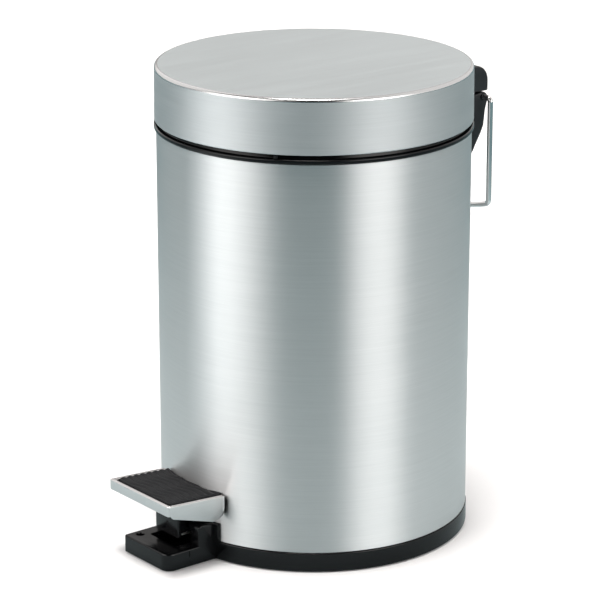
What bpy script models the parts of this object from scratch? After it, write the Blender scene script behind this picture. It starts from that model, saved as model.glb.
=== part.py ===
"""Small round pedal bin: steel body, hinged lid worked by a foot pedal, lift-out bucket.

Run it with: blender --background --python part.py
Units are metres and +Z is up. The pedal points to -Y, the hinge and the carry handle are at
+Y. The origin is on the floor, under the middle of the object's bounding box. The round body
stands AXIS_Y behind it, and every shape below is drawn around the body's own axis, then
parented to an empty that stands there or on the axis of the piece's joint.
"""
import math

import bmesh
import bpy
from mathutils import Matrix, Vector

# ---------------------------------------------------------------- driving dimensions (metres)
GAP = 0.0003                 # air left between neighbouring pieces
ROUND = 64                   # sides of the large round pieces
AXIS_Y = 0.0068              # body axis, behind the middle of the bounding box

SHELL_R = 0.0840             # outside of the steel body
SHELL_WALL = 0.0006
SHELL_BOTTOM = 0.0112
SHELL_TOP = 0.2220

BASE_R = 0.0844              # outside of the black base ring
BASE_BOTTOM = 0.0005
BASE_TOP = 0.0109
BASE_FLANGE_R = 0.0700       # inner edge of the base's bottom flange
BASE_FLANGE_TOP = 0.0050
FLOOR_LOW = 0.0243           # plate that the bucket stands on
FLOOR_TOP = 0.0265
LEDGE_R = 0.0790             # inner edge of the ledge that carries the plate
LEDGE_LOW = 0.0226

FOOT_LEFT, FOOT_RIGHT = -0.0197, 0.0192  # foot block in front of the base
FOOT_FRONT = -0.1140
FOOT_LEFT_CORNER, FOOT_RIGHT_CORNER = 0.0012, 0.0055
FOOT_TOP = 0.0103
CHEEK_HALF = 0.0192          # housing round the pedal's slot
CHEEK_FRONT = -0.0930
CHEEK_TOP = 0.0220
SLOT_HALF = 0.0117
SLOT_FRONT = -0.1030
SLOT_FLOOR = 0.0019
SLOT_CEILING = 0.0190
FLANGE_HALF = 0.0222
FLANGE_TOP = 0.0216

RIM_R = 0.0852               # flange of the rim ring, and the lid
RIM_LOW = SHELL_TOP + GAP
RIM_TOP = 0.0024 + RIM_LOW
RIM_LIP_TOP = 0.2320
RIM_INNER_R = 0.0798

LID_BOTTOM = 0.2270
LID_TOP = 0.2563
LID_TOP_R = 0.0846           # its side leans in a little towards the top
LID_WALL = 0.0008
LID_EDGE_R = 0.0018

PEDAL_HALF = 0.0269
PEDAL_FRONT = -0.1180
PEDAL_TOP = 0.0409           # at its front edge
PEDAL_SLOPE = -0.0613        # rise of the plate for each metre towards the rear
PEDAL_WALL = 0.0008
PEDAL_REAR_R = 0.0846        # the rear edge follows the body
PEDAL_CORNER = 0.0020
PEDAL_FRAME = 0.0026         # width of the steel round the tread
ARM_HALF = 0.0100

PIVOT_Y, PIVOT_Z = -0.0080, 0.0082       # the pedal lever's axle
HINGE_Y, HINGE_Z = 0.1006, 0.2253        # the lid's hinge pin
HINGE_HALF = 0.0220
KNUCKLE_R = 0.0038
PIN_R = 0.0015
BLOCK_BOTTOM = 0.2295

ROD_R = 0.0015
ROD_X = 0.0025
ROD_LOW_Y, ROD_LOW_Z = 0.0766, 0.0090    # hook in the lever
CRANK_R = 0.00845                        # hook in the lid's crank, from the hinge pin
CRANK_BELOW = math.radians(37.5)

HANDLE_HALF = 0.0283
HANDLE_Z = 0.2265            # its ends, a little above the lid's pin
HANDLE_BEND = 0.0020
HANDLE_CORNER_Z = 0.1674
HANDLE_SAG = 0.0050
HANDLE_WIRE_R = 0.0015

BUCKET_R = 0.0730            # outside at the top
BUCKET_BOTTOM_R = 0.0640
BUCKET_BOTTOM = FLOOR_TOP + GAP
BUCKET_TOP = 0.2080
BUCKET_WALL = 0.0012
BUCKET_RIM_R = 0.0745
BAIL_R = 0.0763
BAIL_Z = 0.2030
BAIL_WIRE_R = 0.0011

STEEL = ("brushed_steel", (0.62, 0.64, 0.64), 0.32, 1.0)
CHROME = ("chromed_steel", (0.80, 0.81, 0.82), 0.08, 1.0)
BLACK = ("black_plastic", (0.012, 0.012, 0.014), 0.30, 0.0)
SATIN_BLACK = ("satin_black_plastic", (0.030, 0.032, 0.035), 0.45, 0.0)
RUBBER = ("black_rubber", (0.016, 0.017, 0.019), 0.70, 0.0)
BUCKET_GREY = ("grey_plastic", (0.055, 0.057, 0.060), 0.45, 0.0)
ZINC = ("zinc_plated_steel", (0.55, 0.55, 0.53), 0.35, 1.0)

MOUNTS = {}                  # empties that carry the pieces, by name


# ------------------------------------------------------------------------------- small tools
def solid(name, vertices, faces):
    """Make one object with its faces turned outwards."""
    mesh = bpy.data.meshes.new(name)
    mesh.from_pydata(vertices, [], faces)
    work = bmesh.new()
    work.from_mesh(mesh)
    bmesh.ops.recalc_face_normals(work, faces=work.faces)
    work.to_mesh(mesh)
    work.free()
    made = bpy.data.objects.new(name, mesh)
    bpy.context.scene.collection.objects.link(made)
    return made


def turned(name, profile, sides=ROUND):
    """Turn a closed profile of (radius, height) points about +Z."""
    vertices, rings = [], []
    for radius, height in profile:
        count = sides if radius > 0 else 1
        rings.append([len(vertices) + step for step in range(count)])
        for step in range(count):
            angle = math.tau * (step + 0.5) / sides
            vertices.append((radius * math.cos(angle), radius * math.sin(angle), height))
    faces = []
    for here, there in zip(rings, rings[1:] + rings[:1]):
        for step in range(sides):
            after = (step + 1) % sides
            if len(here) > 1 and len(there) > 1:
                faces.append((here[step], here[after], there[after], there[step]))
            elif len(here) > 1:
                faces.append((here[step], here[after], there[0]))
            elif len(there) > 1:
                faces.append((there[step], there[after], here[0]))
    return solid(name, vertices, faces)


def prism(name, outline, axis, low, high):
    """Extrude a closed outline along X (points y, z), Y (points x, z) or Z (points x, y)."""
    def corner(point, along):
        values = list(point)
        values.insert("XYZ".index(axis), along)
        return tuple(values)
    count = len(outline)
    vertices = [corner(p, low) for p in outline] + [corner(p, high) for p in outline]
    faces = [tuple(range(count)), tuple(range(count, 2 * count))]
    for here in range(count):
        there = (here + 1) % count
        faces.append((here, there, count + there, count + here))
    return solid(name, vertices, faces)


def box(name, x, y, z):
    """A block between pairs of X, Y and Z values."""
    return prism(name, [(x[0], y[0]), (x[1], y[0]), (x[1], y[1]), (x[0], y[1])], "Z", *z)


def disc(name, radius, axis, centre, low, high, sides=24):
    """A round rod along one axis. The centre gives the other two coordinates."""
    return prism(name, arc(centre, radius, 0, 360, sides)[:-1], axis, low, high)


def arc(centre, radius, start, end, steps):
    """Points of a circle between two angles in degrees, both ends included."""
    points = []
    for step in range(steps + 1):
        angle = math.radians(start + (end - start) * step / steps)
        points.append((centre[0] + radius * math.cos(angle),
                       centre[1] + radius * math.sin(angle)))
    return points


def rounded(corners, steps=4, closed=True):
    """Round the corners of a 2-D or 3-D polyline. Each corner is (point, radius)."""
    points = []
    for index, (point, radius) in enumerate(corners):
        here = Vector(point)
        inside = closed or 0 < index < len(corners) - 1
        if radius <= 0 or not inside:
            points.append(tuple(here))
            continue
        before = (Vector(corners[index - 1][0]) - here).normalized()
        after = (Vector(corners[(index + 1) % len(corners)][0]) - here).normalized()
        half = before.angle(after) / 2
        centre = here + (before + after).normalized() * radius / math.sin(half)
        first = here + before * radius / math.tan(half) - centre
        last = here + after * radius / math.tan(half) - centre
        sweep = first.angle(last)
        for step in range(steps + 1):
            part = sweep * step / steps
            spoke = (first * math.sin(sweep - part) + last * math.sin(part)) / math.sin(sweep)
            points.append(tuple(centre + spoke))
    return points


def wire(name, path, radius, sides=10):
    """Sweep a round section along a list of points, with flat ends."""
    path = [Vector(point) for point in path]
    vertices, faces = [], []
    side = None
    for index, point in enumerate(path):
        before = path[max(index - 1, 0)]
        after = path[min(index + 1, len(path) - 1)]
        along = (after - before).normalized()
        if side is None:
            side = along.orthogonal().normalized()
        side = (side - along * side.dot(along)).normalized()
        other = along.cross(side)
        for step in range(sides):
            angle = math.tau * step / sides
            spoke = side * math.cos(angle) + other * math.sin(angle)
            vertices.append(point + spoke * radius)
    for ring in range(len(path) - 1):
        for step in range(sides):
            after = (step + 1) % sides
            low, high = ring * sides, (ring + 1) * sides
            faces.append((low + step, low + after, high + after, high + step))
    faces.append(tuple(range(sides)))
    faces.append(tuple(range(len(vertices) - sides, len(vertices))))
    return solid(name, vertices, faces)


def shape(target, join=(), cut=(), keep=()):
    """Join solids to the target, cut others from it, and keep only what is inside the last."""
    tools = [(tool, "UNION") for tool in join]
    tools += [(tool, "INTERSECT") for tool in keep]
    tools += [(tool, "DIFFERENCE") for tool in cut]
    for tool, operation in tools:
        modifier = target.modifiers.new(operation, "BOOLEAN")
        modifier.operation = operation
        modifier.solver = "EXACT"
        modifier.object = tool
    bpy.context.view_layer.update()
    graph = bpy.context.evaluated_depsgraph_get()
    mesh = bpy.data.meshes.new_from_object(target.evaluated_get(graph))
    target.modifiers.clear()
    target.data = mesh
    mesh.name = target.name
    for tool, _ in tools:
        bpy.data.objects.remove(tool)
    return target


def turn_to(target, place, direction):
    """Move a piece turned about +Z to a place, with its +Z end along a direction."""
    turn = Vector((0, 0, 1)).rotation_difference(Vector(direction)).to_matrix().to_4x4()
    target.data.transform(Matrix.Translation(place) @ turn)
    return target


def finish(target, look, mount="can"):
    """Give a piece its material and smooth shading, and parent it without moving it."""
    name, colour, roughness, metallic = look
    material = bpy.data.materials.get(name)
    if material is None:
        material = bpy.data.materials.new(name)
        material.use_nodes = True
        shader = material.node_tree.nodes["Principled BSDF"]
        shader.inputs["Base Color"].default_value = (*colour, 1.0)
        shader.inputs["Roughness"].default_value = roughness
        shader.inputs["Metallic"].default_value = metallic
    target.data.materials.clear()
    target.data.materials.append(material)
    target.data.shade_smooth()
    target.data.set_sharp_from_angle(angle=math.radians(30))
    holder = MOUNTS[mount]
    offset = holder.location if mount != "can" else Vector((0, 0, 0))
    target.data.transform(Matrix.Translation(-offset))
    target.parent = holder
    return target


def add_mount(name, place):
    """An empty: "can" stands on the body's axis, and the others hang from it at their joint."""
    empty = bpy.data.objects.new(name + "_origin", None)
    empty.location = place
    empty.empty_display_size = 0.01
    bpy.context.scene.collection.objects.link(empty)
    if name != "can":
        empty.parent = MOUNTS["can"]
    MOUNTS[name] = empty


def screw(name, place, direction, head_r, head_h, shank_r, length):
    """Pan-head screw. Its head's underside is at the place, its head points along direction."""
    profile = [(0, head_h), (head_r * 0.7, head_h), (head_r, head_h * 0.45), (head_r, 0),
               (shank_r, 0), (shank_r, -length + shank_r), (0, -length)]
    made = turned(name, profile, 16)
    slot = box(name + "_slot", (-head_r * 0.7, head_r * 0.7), (-0.0003, 0.0003),
               (head_h * 0.5, head_h * 2))
    return turn_to(shape(made, cut=[slot]), place, direction)


def clip(name, place, direction, inner_r, outer_r, thickness):
    """Push-on ring that keeps a pin or a hook in its hole."""
    profile = [(inner_r, -thickness / 2), (outer_r, -thickness / 2),
               (outer_r, thickness / 2), (inner_r, thickness / 2)]
    return turn_to(turned(name, profile, 16), place, direction)


# ------------------------------------------------------------------------- base and its feet
def make_base():
    """Base ring with the foot block and the housing round the pedal's slot."""
    collar_r = SHELL_R - SHELL_WALL - GAP
    collar_in = collar_r - 0.0025
    base = turned("base_moulding", [
        (collar_r, FLOOR_TOP), (collar_r, BASE_TOP),
        (BASE_R - 0.0003, BASE_TOP), (BASE_R, BASE_TOP - 0.0003),
        (BASE_R, BASE_BOTTOM + 0.0006), (BASE_R - 0.0006, BASE_BOTTOM),
        (BASE_FLANGE_R, BASE_BOTTOM), (BASE_FLANGE_R, BASE_FLANGE_TOP),
        (collar_in, BASE_FLANGE_TOP), (collar_in, LEDGE_LOW - 0.0015), (LEDGE_R, LEDGE_LOW),
        (LEDGE_R, FLOOR_LOW - GAP), (collar_in, FLOOR_LOW - GAP), (collar_in, FLOOR_TOP)])
    rear = -0.0800
    foot = prism("foot", rounded([((FOOT_LEFT, rear), 0),
                                  ((FOOT_LEFT, FOOT_FRONT), FOOT_LEFT_CORNER),
                                  ((FOOT_RIGHT, FOOT_FRONT), FOOT_RIGHT_CORNER),
                                  ((FOOT_RIGHT, rear), 0)]),
                 "Z", BASE_BOTTOM, FOOT_TOP)
    housing = prism("housing", rounded([((CHEEK_FRONT, BASE_BOTTOM), 0),
                                        ((CHEEK_FRONT, CHEEK_TOP), 0.0016),
                                        ((rear, CHEEK_TOP - 0.0015), 0),
                                        ((rear, BASE_BOTTOM), 0)], 3),
                    "X", -CHEEK_HALF, CHEEK_HALF)
    apron = turned("apron", [(SHELL_R + GAP, FLANGE_TOP), (SHELL_R + GAP, BASE_TOP - 0.0004),
                             (SHELL_R + 0.0018, BASE_TOP - 0.0004),
                             (SHELL_R + 0.0018, FLANGE_TOP)])
    apron = shape(apron, keep=[box("trim", (-FLANGE_HALF, FLANGE_HALF), (-0.100, -0.070),
                                   (0.0, 0.030))])
    inner = SLOT_HALF + 0.0020
    left, right = FOOT_LEFT + 0.0025, FOOT_RIGHT - 0.0025
    hollow_z = (-0.001, FOOT_TOP - 0.0022)
    hollows = [box("hollow", (left, -inner), (FOOT_FRONT + 0.0025, -0.0870), hollow_z),
               box("hollow", (inner, right), (FOOT_FRONT + 0.0025, -0.0870), hollow_z),
               box("hollow", (left, right), (FOOT_FRONT + 0.0025, SLOT_FRONT - 0.0020), hollow_z)]
    slot = box("slot", (-SLOT_HALF, SLOT_HALF), (SLOT_FRONT, -0.0600), (SLOT_FLOOR, SLOT_CEILING))
    drain = disc("drain", 0.0020, "Z", (-0.0143, -0.1072), 0.0060, 0.0120, 16)
    mark = box("mark", (FOOT_RIGHT - 0.0010, FOOT_RIGHT + 0.001), (-0.0996, -0.0986),
               (0.0063, 0.0096))
    pockets = [disc("pocket", 0.0060 + GAP, "Z", spot, -0.001, 0.0028, 20)
               for spot in foot_spots()]
    shape(base, join=[foot, housing, apron])
    shape(base, cut=[*hollows, slot, rod_gate(), drain, mark, *pockets])
    finish(base, BLACK)


def rod_gate():
    """The way that the push rod takes through the floor plate and its ledge."""
    return box("rod_gate", (-0.0020, 0.0125), (0.0720, 0.0806), (0.0200, 0.0300))


def make_floor():
    """Plate that carries the bucket, with two ears below it for the lever's axle."""
    radius = SHELL_R - SHELL_WALL - GAP - 0.0025 - GAP
    floor = turned("base_floor", [(0, FLOOR_TOP), (radius, FLOOR_TOP), (radius, FLOOR_LOW),
                                  (0, FLOOR_LOW)])
    ear_low = arc((PIVOT_Y, PIVOT_Z), 0.0045, 180, 360, 6)
    ear = [*ear_low, (PIVOT_Y + 0.0045, FLOOR_LOW + 0.001), (PIVOT_Y - 0.0045, FLOOR_LOW + 0.001)]
    ears = [prism("ear", ear, "X", *sorted((side * 0.0100, side * 0.0130))) for side in (-1, 1)]
    axle_hole = disc("axle_hole", PIN_R + GAP, "X", (PIVOT_Y, PIVOT_Z), -0.020, 0.020, 16)
    shape(floor, join=ears)
    finish(shape(floor, cut=[rod_gate(), axle_hole]), BLACK)


def foot_spots():
    """Centres of the four rubber feet, on the base's bottom flange."""
    return [(0.0765 * math.cos(math.radians(angle)), 0.0765 * math.sin(math.radians(angle)))
            for angle in (-125, -55, 125, 55)]


def make_feet():
    """Four round rubber pads that stand half a millimetre out of the base."""
    names = ("front_left", "front_right", "rear_left", "rear_right")
    for name, spot in zip(names, foot_spots()):
        foot = turned("rubber_foot_" + name, [(0, 0), (0.0056, 0), (0.0060, 0.0004),
                                              (0.0060, 0.0025), (0, 0.0025)], 20)
        foot.data.transform(Matrix.Translation((*spot, 0)))
        finish(foot, RUBBER)


# -------------------------------------------------------------------------- body and its rim
def bracket_screw_x():
    """The bracket's two screws stand either side of the push rod."""
    return (-0.0130, 0.0130)


BRACKET_SCREW_Z = 0.2000


def make_body():
    """Steel tube with a notch for the pedal's housing and a slot for the push rod."""
    inside = SHELL_R - SHELL_WALL
    body = turned("body_shell", [(inside, SHELL_BOTTOM), (SHELL_R, SHELL_BOTTOM),
                                 (SHELL_R, SHELL_TOP), (inside, SHELL_TOP)])
    notch = box("notch", (-0.0205, 0.0205), (-0.100, -0.060), (0.005, 0.0211))
    rod_slot = box("rod_slot", (ROD_X - 0.0030, ROD_X + 0.0030), (0.070, 0.100),
                   (0.1780, 0.2130))
    holes = [disc("hole", 0.0018, "Y", (x, BRACKET_SCREW_Z), 0.070, 0.100, 12)
             for x in bracket_screw_x()]
    finish(shape(body, cut=[notch, rod_slot, *holes]), STEEL)


def make_rim():
    """Black ring on the body's upper edge, with a lip that stands inside the lid."""
    skirt_r = SHELL_R - SHELL_WALL - GAP
    ring = turned("top_rim_ring", [
        (RIM_INNER_R, 0.2140), (skirt_r, 0.2140), (skirt_r, RIM_LOW), (RIM_R, RIM_LOW),
        (RIM_R, RIM_TOP - 0.0005), (RIM_R - 0.0005, RIM_TOP), (0.0822, RIM_TOP),
        (0.0816, RIM_LIP_TOP), (RIM_INNER_R + 0.0004, RIM_LIP_TOP)])
    finish(ring, BLACK)
    for side, name in ((-1, "left"), (1, "right")):
        angle = math.radians(-90 + side * 38)
        pad = turned("lid_bumper_" + name, [(0, RIM_TOP + GAP), (0.0011, RIM_TOP + GAP),
                                            (0.0011, LID_BOTTOM - GAP), (0, LID_BOTTOM - GAP)],
                     10)
        pad.data.transform(Matrix.Translation((0.0838 * math.cos(angle),
                                               0.0838 * math.sin(angle), 0)))
        finish(pad, RUBBER)


# ------------------------------------------------------------------------------- rear hinge
def bracket_outline(wall=0.0):
    """Side view of the bracket as (y, z), drawn in by a wall thickness."""
    lean = wall * 1.2
    return [(0.0800, 0.1780 + lean * 2), (0.0846, 0.1780 + lean * 2),
            (0.0955 - lean, 0.1994), (0.0995 - lean, 0.2060), (0.1016 - wall, 0.2105),
            (0.1026 - wall, 0.2190)]


def make_bracket():
    """Hollow bracket behind the body, with cheeks for the handle and lugs for the lid's pin."""
    pin = (HINGE_Y, HINGE_Z)
    cheek_top = arc(pin, KNUCKLE_R, 0, 90, 5)
    side = [*bracket_outline(), *cheek_top, (0.0965, 0.2284), (0.0800, 0.2284)]
    bracket = prism("hinge_bracket", side, "X", -HINGE_HALF, HINGE_HALF)
    face = rounded([((-HINGE_HALF - 0.001, 0.2400), 0), ((-HINGE_HALF - 0.001, 0.2000), 0),
                    ((-0.0150, 0.1770), 0.006), ((0.0150, 0.1770), 0.006),
                    ((HINGE_HALF + 0.001, 0.2000), 0), ((HINGE_HALF + 0.001, 0.2400), 0)], 4)
    shape(bracket, keep=[prism("face", face, "Y", 0.060, 0.120)])
    wall = 0.0024
    hollow_side = [*bracket_outline(wall), (0.0800, 0.2190)]
    hollow = prism("hollow", hollow_side, "X", -HINGE_HALF + wall, HINGE_HALF - wall)
    hollow_face = [(x * 0.86, z + 0.0030) for x, z in face[1:-1]]
    hollow_face = [(-0.0196, 0.2400), *hollow_face, (0.0196, 0.2400)]
    shape(hollow, keep=[prism("hollow_face", hollow_face, "Y", 0.060, 0.120)])
    bay = box("bay", (-0.0180, 0.0180), (0.0700, 0.1200), (0.2185, 0.2400))
    shape(bracket, cut=[hollow, bay])
    lug = [(0.0968, 0.2060), (0.0998, 0.2060), (0.1020, 0.2190), *arc(pin, KNUCKLE_R, 0, 180, 8)]
    lugs = [prism("lug", lug, "X", *sorted((side * 0.0070, side * 0.0110))) for side in (-1, 1)]
    bosses = [disc("boss", 0.0034, "Y", (x, BRACKET_SCREW_Z), 0.0800, 0.0945, 14)
              for x in bracket_screw_x()]
    shape(bracket, join=[*lugs, *bosses])
    pin_hole = disc("pin_hole", PIN_R + GAP, "X", pin, -0.0150, 0.0150, 16)
    ends = [disc("end_hole", HANDLE_WIRE_R + GAP, "X", (HINGE_Y, HANDLE_Z),
                 *sorted((side * 0.0165, side * 0.0300)), 16) for side in (-1, 1)]
    pilots = [disc("pilot", 0.0015 + GAP, "Y", (x, BRACKET_SCREW_Z), 0.0700, 0.0926, 12)
              for x in bracket_screw_x()]
    body = turned("body_clear", [(0, 0.100), (SHELL_R + GAP, 0.100), (SHELL_R + GAP, 0.2219),
                                 (RIM_R + GAP, 0.2219), (RIM_R + GAP, 0.300), (0, 0.300)])
    shape(bracket, cut=[pin_hole, *ends, *pilots, body])
    finish(bracket, SATIN_BLACK)
    for x, name in zip(bracket_screw_x(), ("left", "right")):
        finish(screw("bracket_screw_" + name, (x, 0.0815, BRACKET_SCREW_Z), (0, -1, 0),
                     0.0029, 0.0014, 0.0015, 0.0108), ZINC)
    finish(disc("lid_hinge_pin", PIN_R, "X", pin, -0.0176, 0.0176, 12), ZINC)


def crank_hook():
    """Where the push rod's upper hook meets the lid's crank at rest, as (y, z)."""
    return (HINGE_Y - CRANK_R * math.cos(CRANK_BELOW), HINGE_Z - CRANK_R * math.sin(CRANK_BELOW))


def make_lid():
    """Flat steel lid, its hinge block with two knuckles and the crank, and two screws."""
    inside = RIM_R - LID_WALL
    edge = arc((LID_TOP_R - LID_EDGE_R, LID_TOP - LID_EDGE_R), LID_EDGE_R, 0, 90, 4)
    lid = turned("lid_shell", [(0, LID_TOP), *reversed(edge), (RIM_R, LID_BOTTOM),
                               (inside - 0.0004, LID_BOTTOM), (inside, LID_BOTTOM + 0.0012),
                               (LID_TOP_R - LID_WALL, LID_TOP - LID_EDGE_R),
                               (LID_TOP_R - LID_EDGE_R, LID_TOP - LID_WALL),
                               (0, LID_TOP - LID_WALL)])
    screw_z = 0.2370
    spots = (-0.0130, 0.0130)
    holes = [disc("hole", 0.0018, "Y", (x, screw_z), 0.070, 0.100, 12) for x in spots]
    finish(shape(lid, cut=holes), STEEL, "lid")

    side = [(0.0800, BLOCK_BOTTOM), (0.1036, BLOCK_BOTTOM),
            *arc((0.0951, 0.2355), 0.0085, 0, 90, 7), (0.0800, 0.2440)]
    block = prism("lid_hinge_block", side, "X", -HINGE_HALF, HINGE_HALF)
    pin = (HINGE_Y, HINGE_Z)
    knuckle = [(0.1032, 0.2310), (HINGE_Y - KNUCKLE_R, 0.2310), *arc(pin, KNUCKLE_R, 180, 360, 8)]
    knuckles = [prism("knuckle", knuckle, "X", *sorted((side_x * 0.0115, side_x * 0.0174)))
                for side_x in (-1, 1)]
    hook = crank_hook()
    crank = prism("crank", [(0.0895, 0.2310), *arc(hook, 0.0040, 170, 320, 7),
                            *arc(pin, KNUCKLE_R, -40, 0, 2), (0.1032, 0.2310)],
                  "X", -0.0043, -0.0003)
    shape(block, join=[*knuckles, crank])
    toward = Vector((hook[0] - HINGE_Y, hook[1] - HINGE_Z)).normalized()
    play = 0.0021
    across = Vector((-toward[1], toward[0])) * play
    near = Vector(pin) + toward * (CRANK_R * math.cos(CRANK_BELOW) - play)
    far = Vector(pin) + toward * (CRANK_R + play)
    slot = prism("slot", [tuple(near + across), tuple(far + across), tuple(far - across),
                          tuple(near - across)], "X", -0.010, 0.005)
    pin_hole = disc("pin_hole", PIN_R + GAP, "X", pin, -0.030, 0.030, 16)
    pilots = [disc("pilot", 0.0015 + GAP, "Y", (x, screw_z), 0.0700, 0.0960, 12) for x in spots]
    skirt = turned("skirt_clear", [(0, 0.200), (RIM_R + GAP, 0.200), (RIM_R + GAP, LID_BOTTOM),
                                   (LID_TOP_R + GAP, LID_TOP), (LID_TOP_R + GAP, 0.300),
                                   (0, 0.300)])
    shape(block, cut=[slot, pin_hole, *pilots, skirt])
    finish(block, SATIN_BLACK, "lid")
    for x, name in zip(spots, ("left", "right")):
        finish(screw("lid_screw_" + name, (x, 0.0825, screw_z), (0, -1, 0),
                     0.0029, 0.0014, 0.0015, 0.0128), ZINC, "lid")


def make_handle():
    """Chromed wire bail: straight arms, a bowed grip and ends turned into the cheeks."""
    end = HINGE_HALF - 0.0035
    count = 8
    grip = []
    for step in range(1, count):
        x = HANDLE_HALF - 2 * HANDLE_HALF * step / count
        grip.append(((x, HINGE_Y, HANDLE_CORNER_Z - HANDLE_SAG * (1 - (x / HANDLE_HALF) ** 2)), 0))
    corners = [((end, HINGE_Y, HANDLE_Z), 0), ((HANDLE_HALF, HINGE_Y, HANDLE_Z), HANDLE_BEND),
               ((HANDLE_HALF, HINGE_Y, HANDLE_CORNER_Z), 0.0030), *grip,
               ((-HANDLE_HALF, HINGE_Y, HANDLE_CORNER_Z), 0.0030),
               ((-HANDLE_HALF, HINGE_Y, HANDLE_Z), HANDLE_BEND), ((-end, HINGE_Y, HANDLE_Z), 0)]
    path = rounded(corners, 4, closed=False)
    finish(wire("carry_handle", path, HANDLE_WIRE_R), CHROME, "handle")


# --------------------------------------------------------------------------- pedal and lever
def plate_top(y):
    """Height of the pedal plate's upper face."""
    return PEDAL_TOP + PEDAL_SLOPE * (y - PEDAL_FRONT)


def pedal_block(name, inset, rear_r, low, drop=0.0):
    """Solid with the pedal's outline, drawn in by an inset, from a height up to its plate."""
    half = PEDAL_HALF - inset
    front = PEDAL_FRONT + inset
    corner_r = max(PEDAL_CORNER - inset, 0.0010)
    rear_y = -math.sqrt(rear_r ** 2 - half ** 2)
    outline = rounded([((half, rear_y), 0), ((half, front), corner_r), ((-half, front), corner_r),
                       ((-half, rear_y), 0)])
    spread = math.degrees(math.asin(half / rear_r))
    outline += arc((0, 0), rear_r, 270 - spread, 270 + spread, 8)[1:-1]
    block = prism(name, outline, "Z", low, 0.060)
    lid = prism("above", [(-0.130, plate_top(-0.130) - drop), (-0.060, plate_top(-0.060) - drop),
                          (-0.060, 0.070), (-0.130, 0.070)], "X", -0.040, 0.040)
    return shape(block, cut=[lid])


def make_pedal():
    """Steel cover with a turned-down edge, rubber tread, and the black arm beneath."""
    skirt = rounded([((-0.1200, 0.0100), 0), ((-0.0700, 0.0100), 0), ((-0.0700, 0.0340), 0),
                     ((-0.0802, 0.0340), 0), ((-0.0802, 0.0236), 0.0060), ((-0.1158, 0.0338), 0),
                     ((-0.1158, 0.0352), 0), ((-0.1200, 0.0353), 0)], 5)
    cover = pedal_block("pedal_cover", 0, PEDAL_REAR_R, 0.0150)
    inner = pedal_block("inner", PEDAL_WALL, PEDAL_REAR_R - 0.0040, 0.0100, PEDAL_WALL)
    window = pedal_block("window", PEDAL_FRAME, PEDAL_REAR_R - 0.0040, 0.0100, -0.0030)
    below = prism("below", skirt, "X", -0.040, 0.040)
    shape(cover, cut=[inner, below, window])
    finish(cover, STEEL, "pedal")

    tread = pedal_block("tread", PEDAL_FRAME + GAP, PEDAL_REAR_R, 0.0150, -0.0005)
    tread.name = "pedal_tread"
    under = prism("under", [(-0.130, plate_top(-0.130) - 0.0010),
                            (-0.130, 0.0100), (-0.060, 0.0100),
                            (-0.060, plate_top(-0.060) - 0.0010)], "X", -0.040, 0.040)
    finish(shape(tread, cut=[under]), RUBBER, "pedal")

    drop = PEDAL_WALL + 0.0005
    plate = pedal_block("pedal_carrier", PEDAL_WALL + GAP, PEDAL_REAR_R - 0.0002, 0.0150, drop)
    thick = 0.0026
    under = prism("under", [(-0.130, plate_top(-0.130) - drop - thick),
                            (-0.130, 0.0100), (-0.060, 0.0100),
                            (-0.060, plate_top(-0.060) - drop - thick)], "X", -0.040, 0.040)
    shape(plate, cut=[under])
    arm = rounded([((-0.1000, 0.0135), 0), ((-0.0974, 0.0135), 0), ((-0.0974, 0.0158), 0),
                   ((-0.0730, 0.0158), 0), ((-0.0730, 0.0186), 0), ((-0.0946, 0.0186), 0.0020),
                   ((-0.0946, 0.0320), 0.0030), ((-0.0900, 0.0370), 0), ((-0.1000, 0.0370), 0)], 3)
    shape(plate, join=[prism("arm", arm, "X", -ARM_HALF, ARM_HALF)])
    pilots = [disc("pilot", 0.0016 + GAP, "Z", (0, y), 0.0100, 0.0300, 12)
              for y in lever_screw_y()]
    finish(shape(plate, cut=pilots), BLACK, "pedal")


def lever_screw_y():
    """The arm is held on the lever by two screws in line."""
    return (-0.0890, -0.0780)


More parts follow.
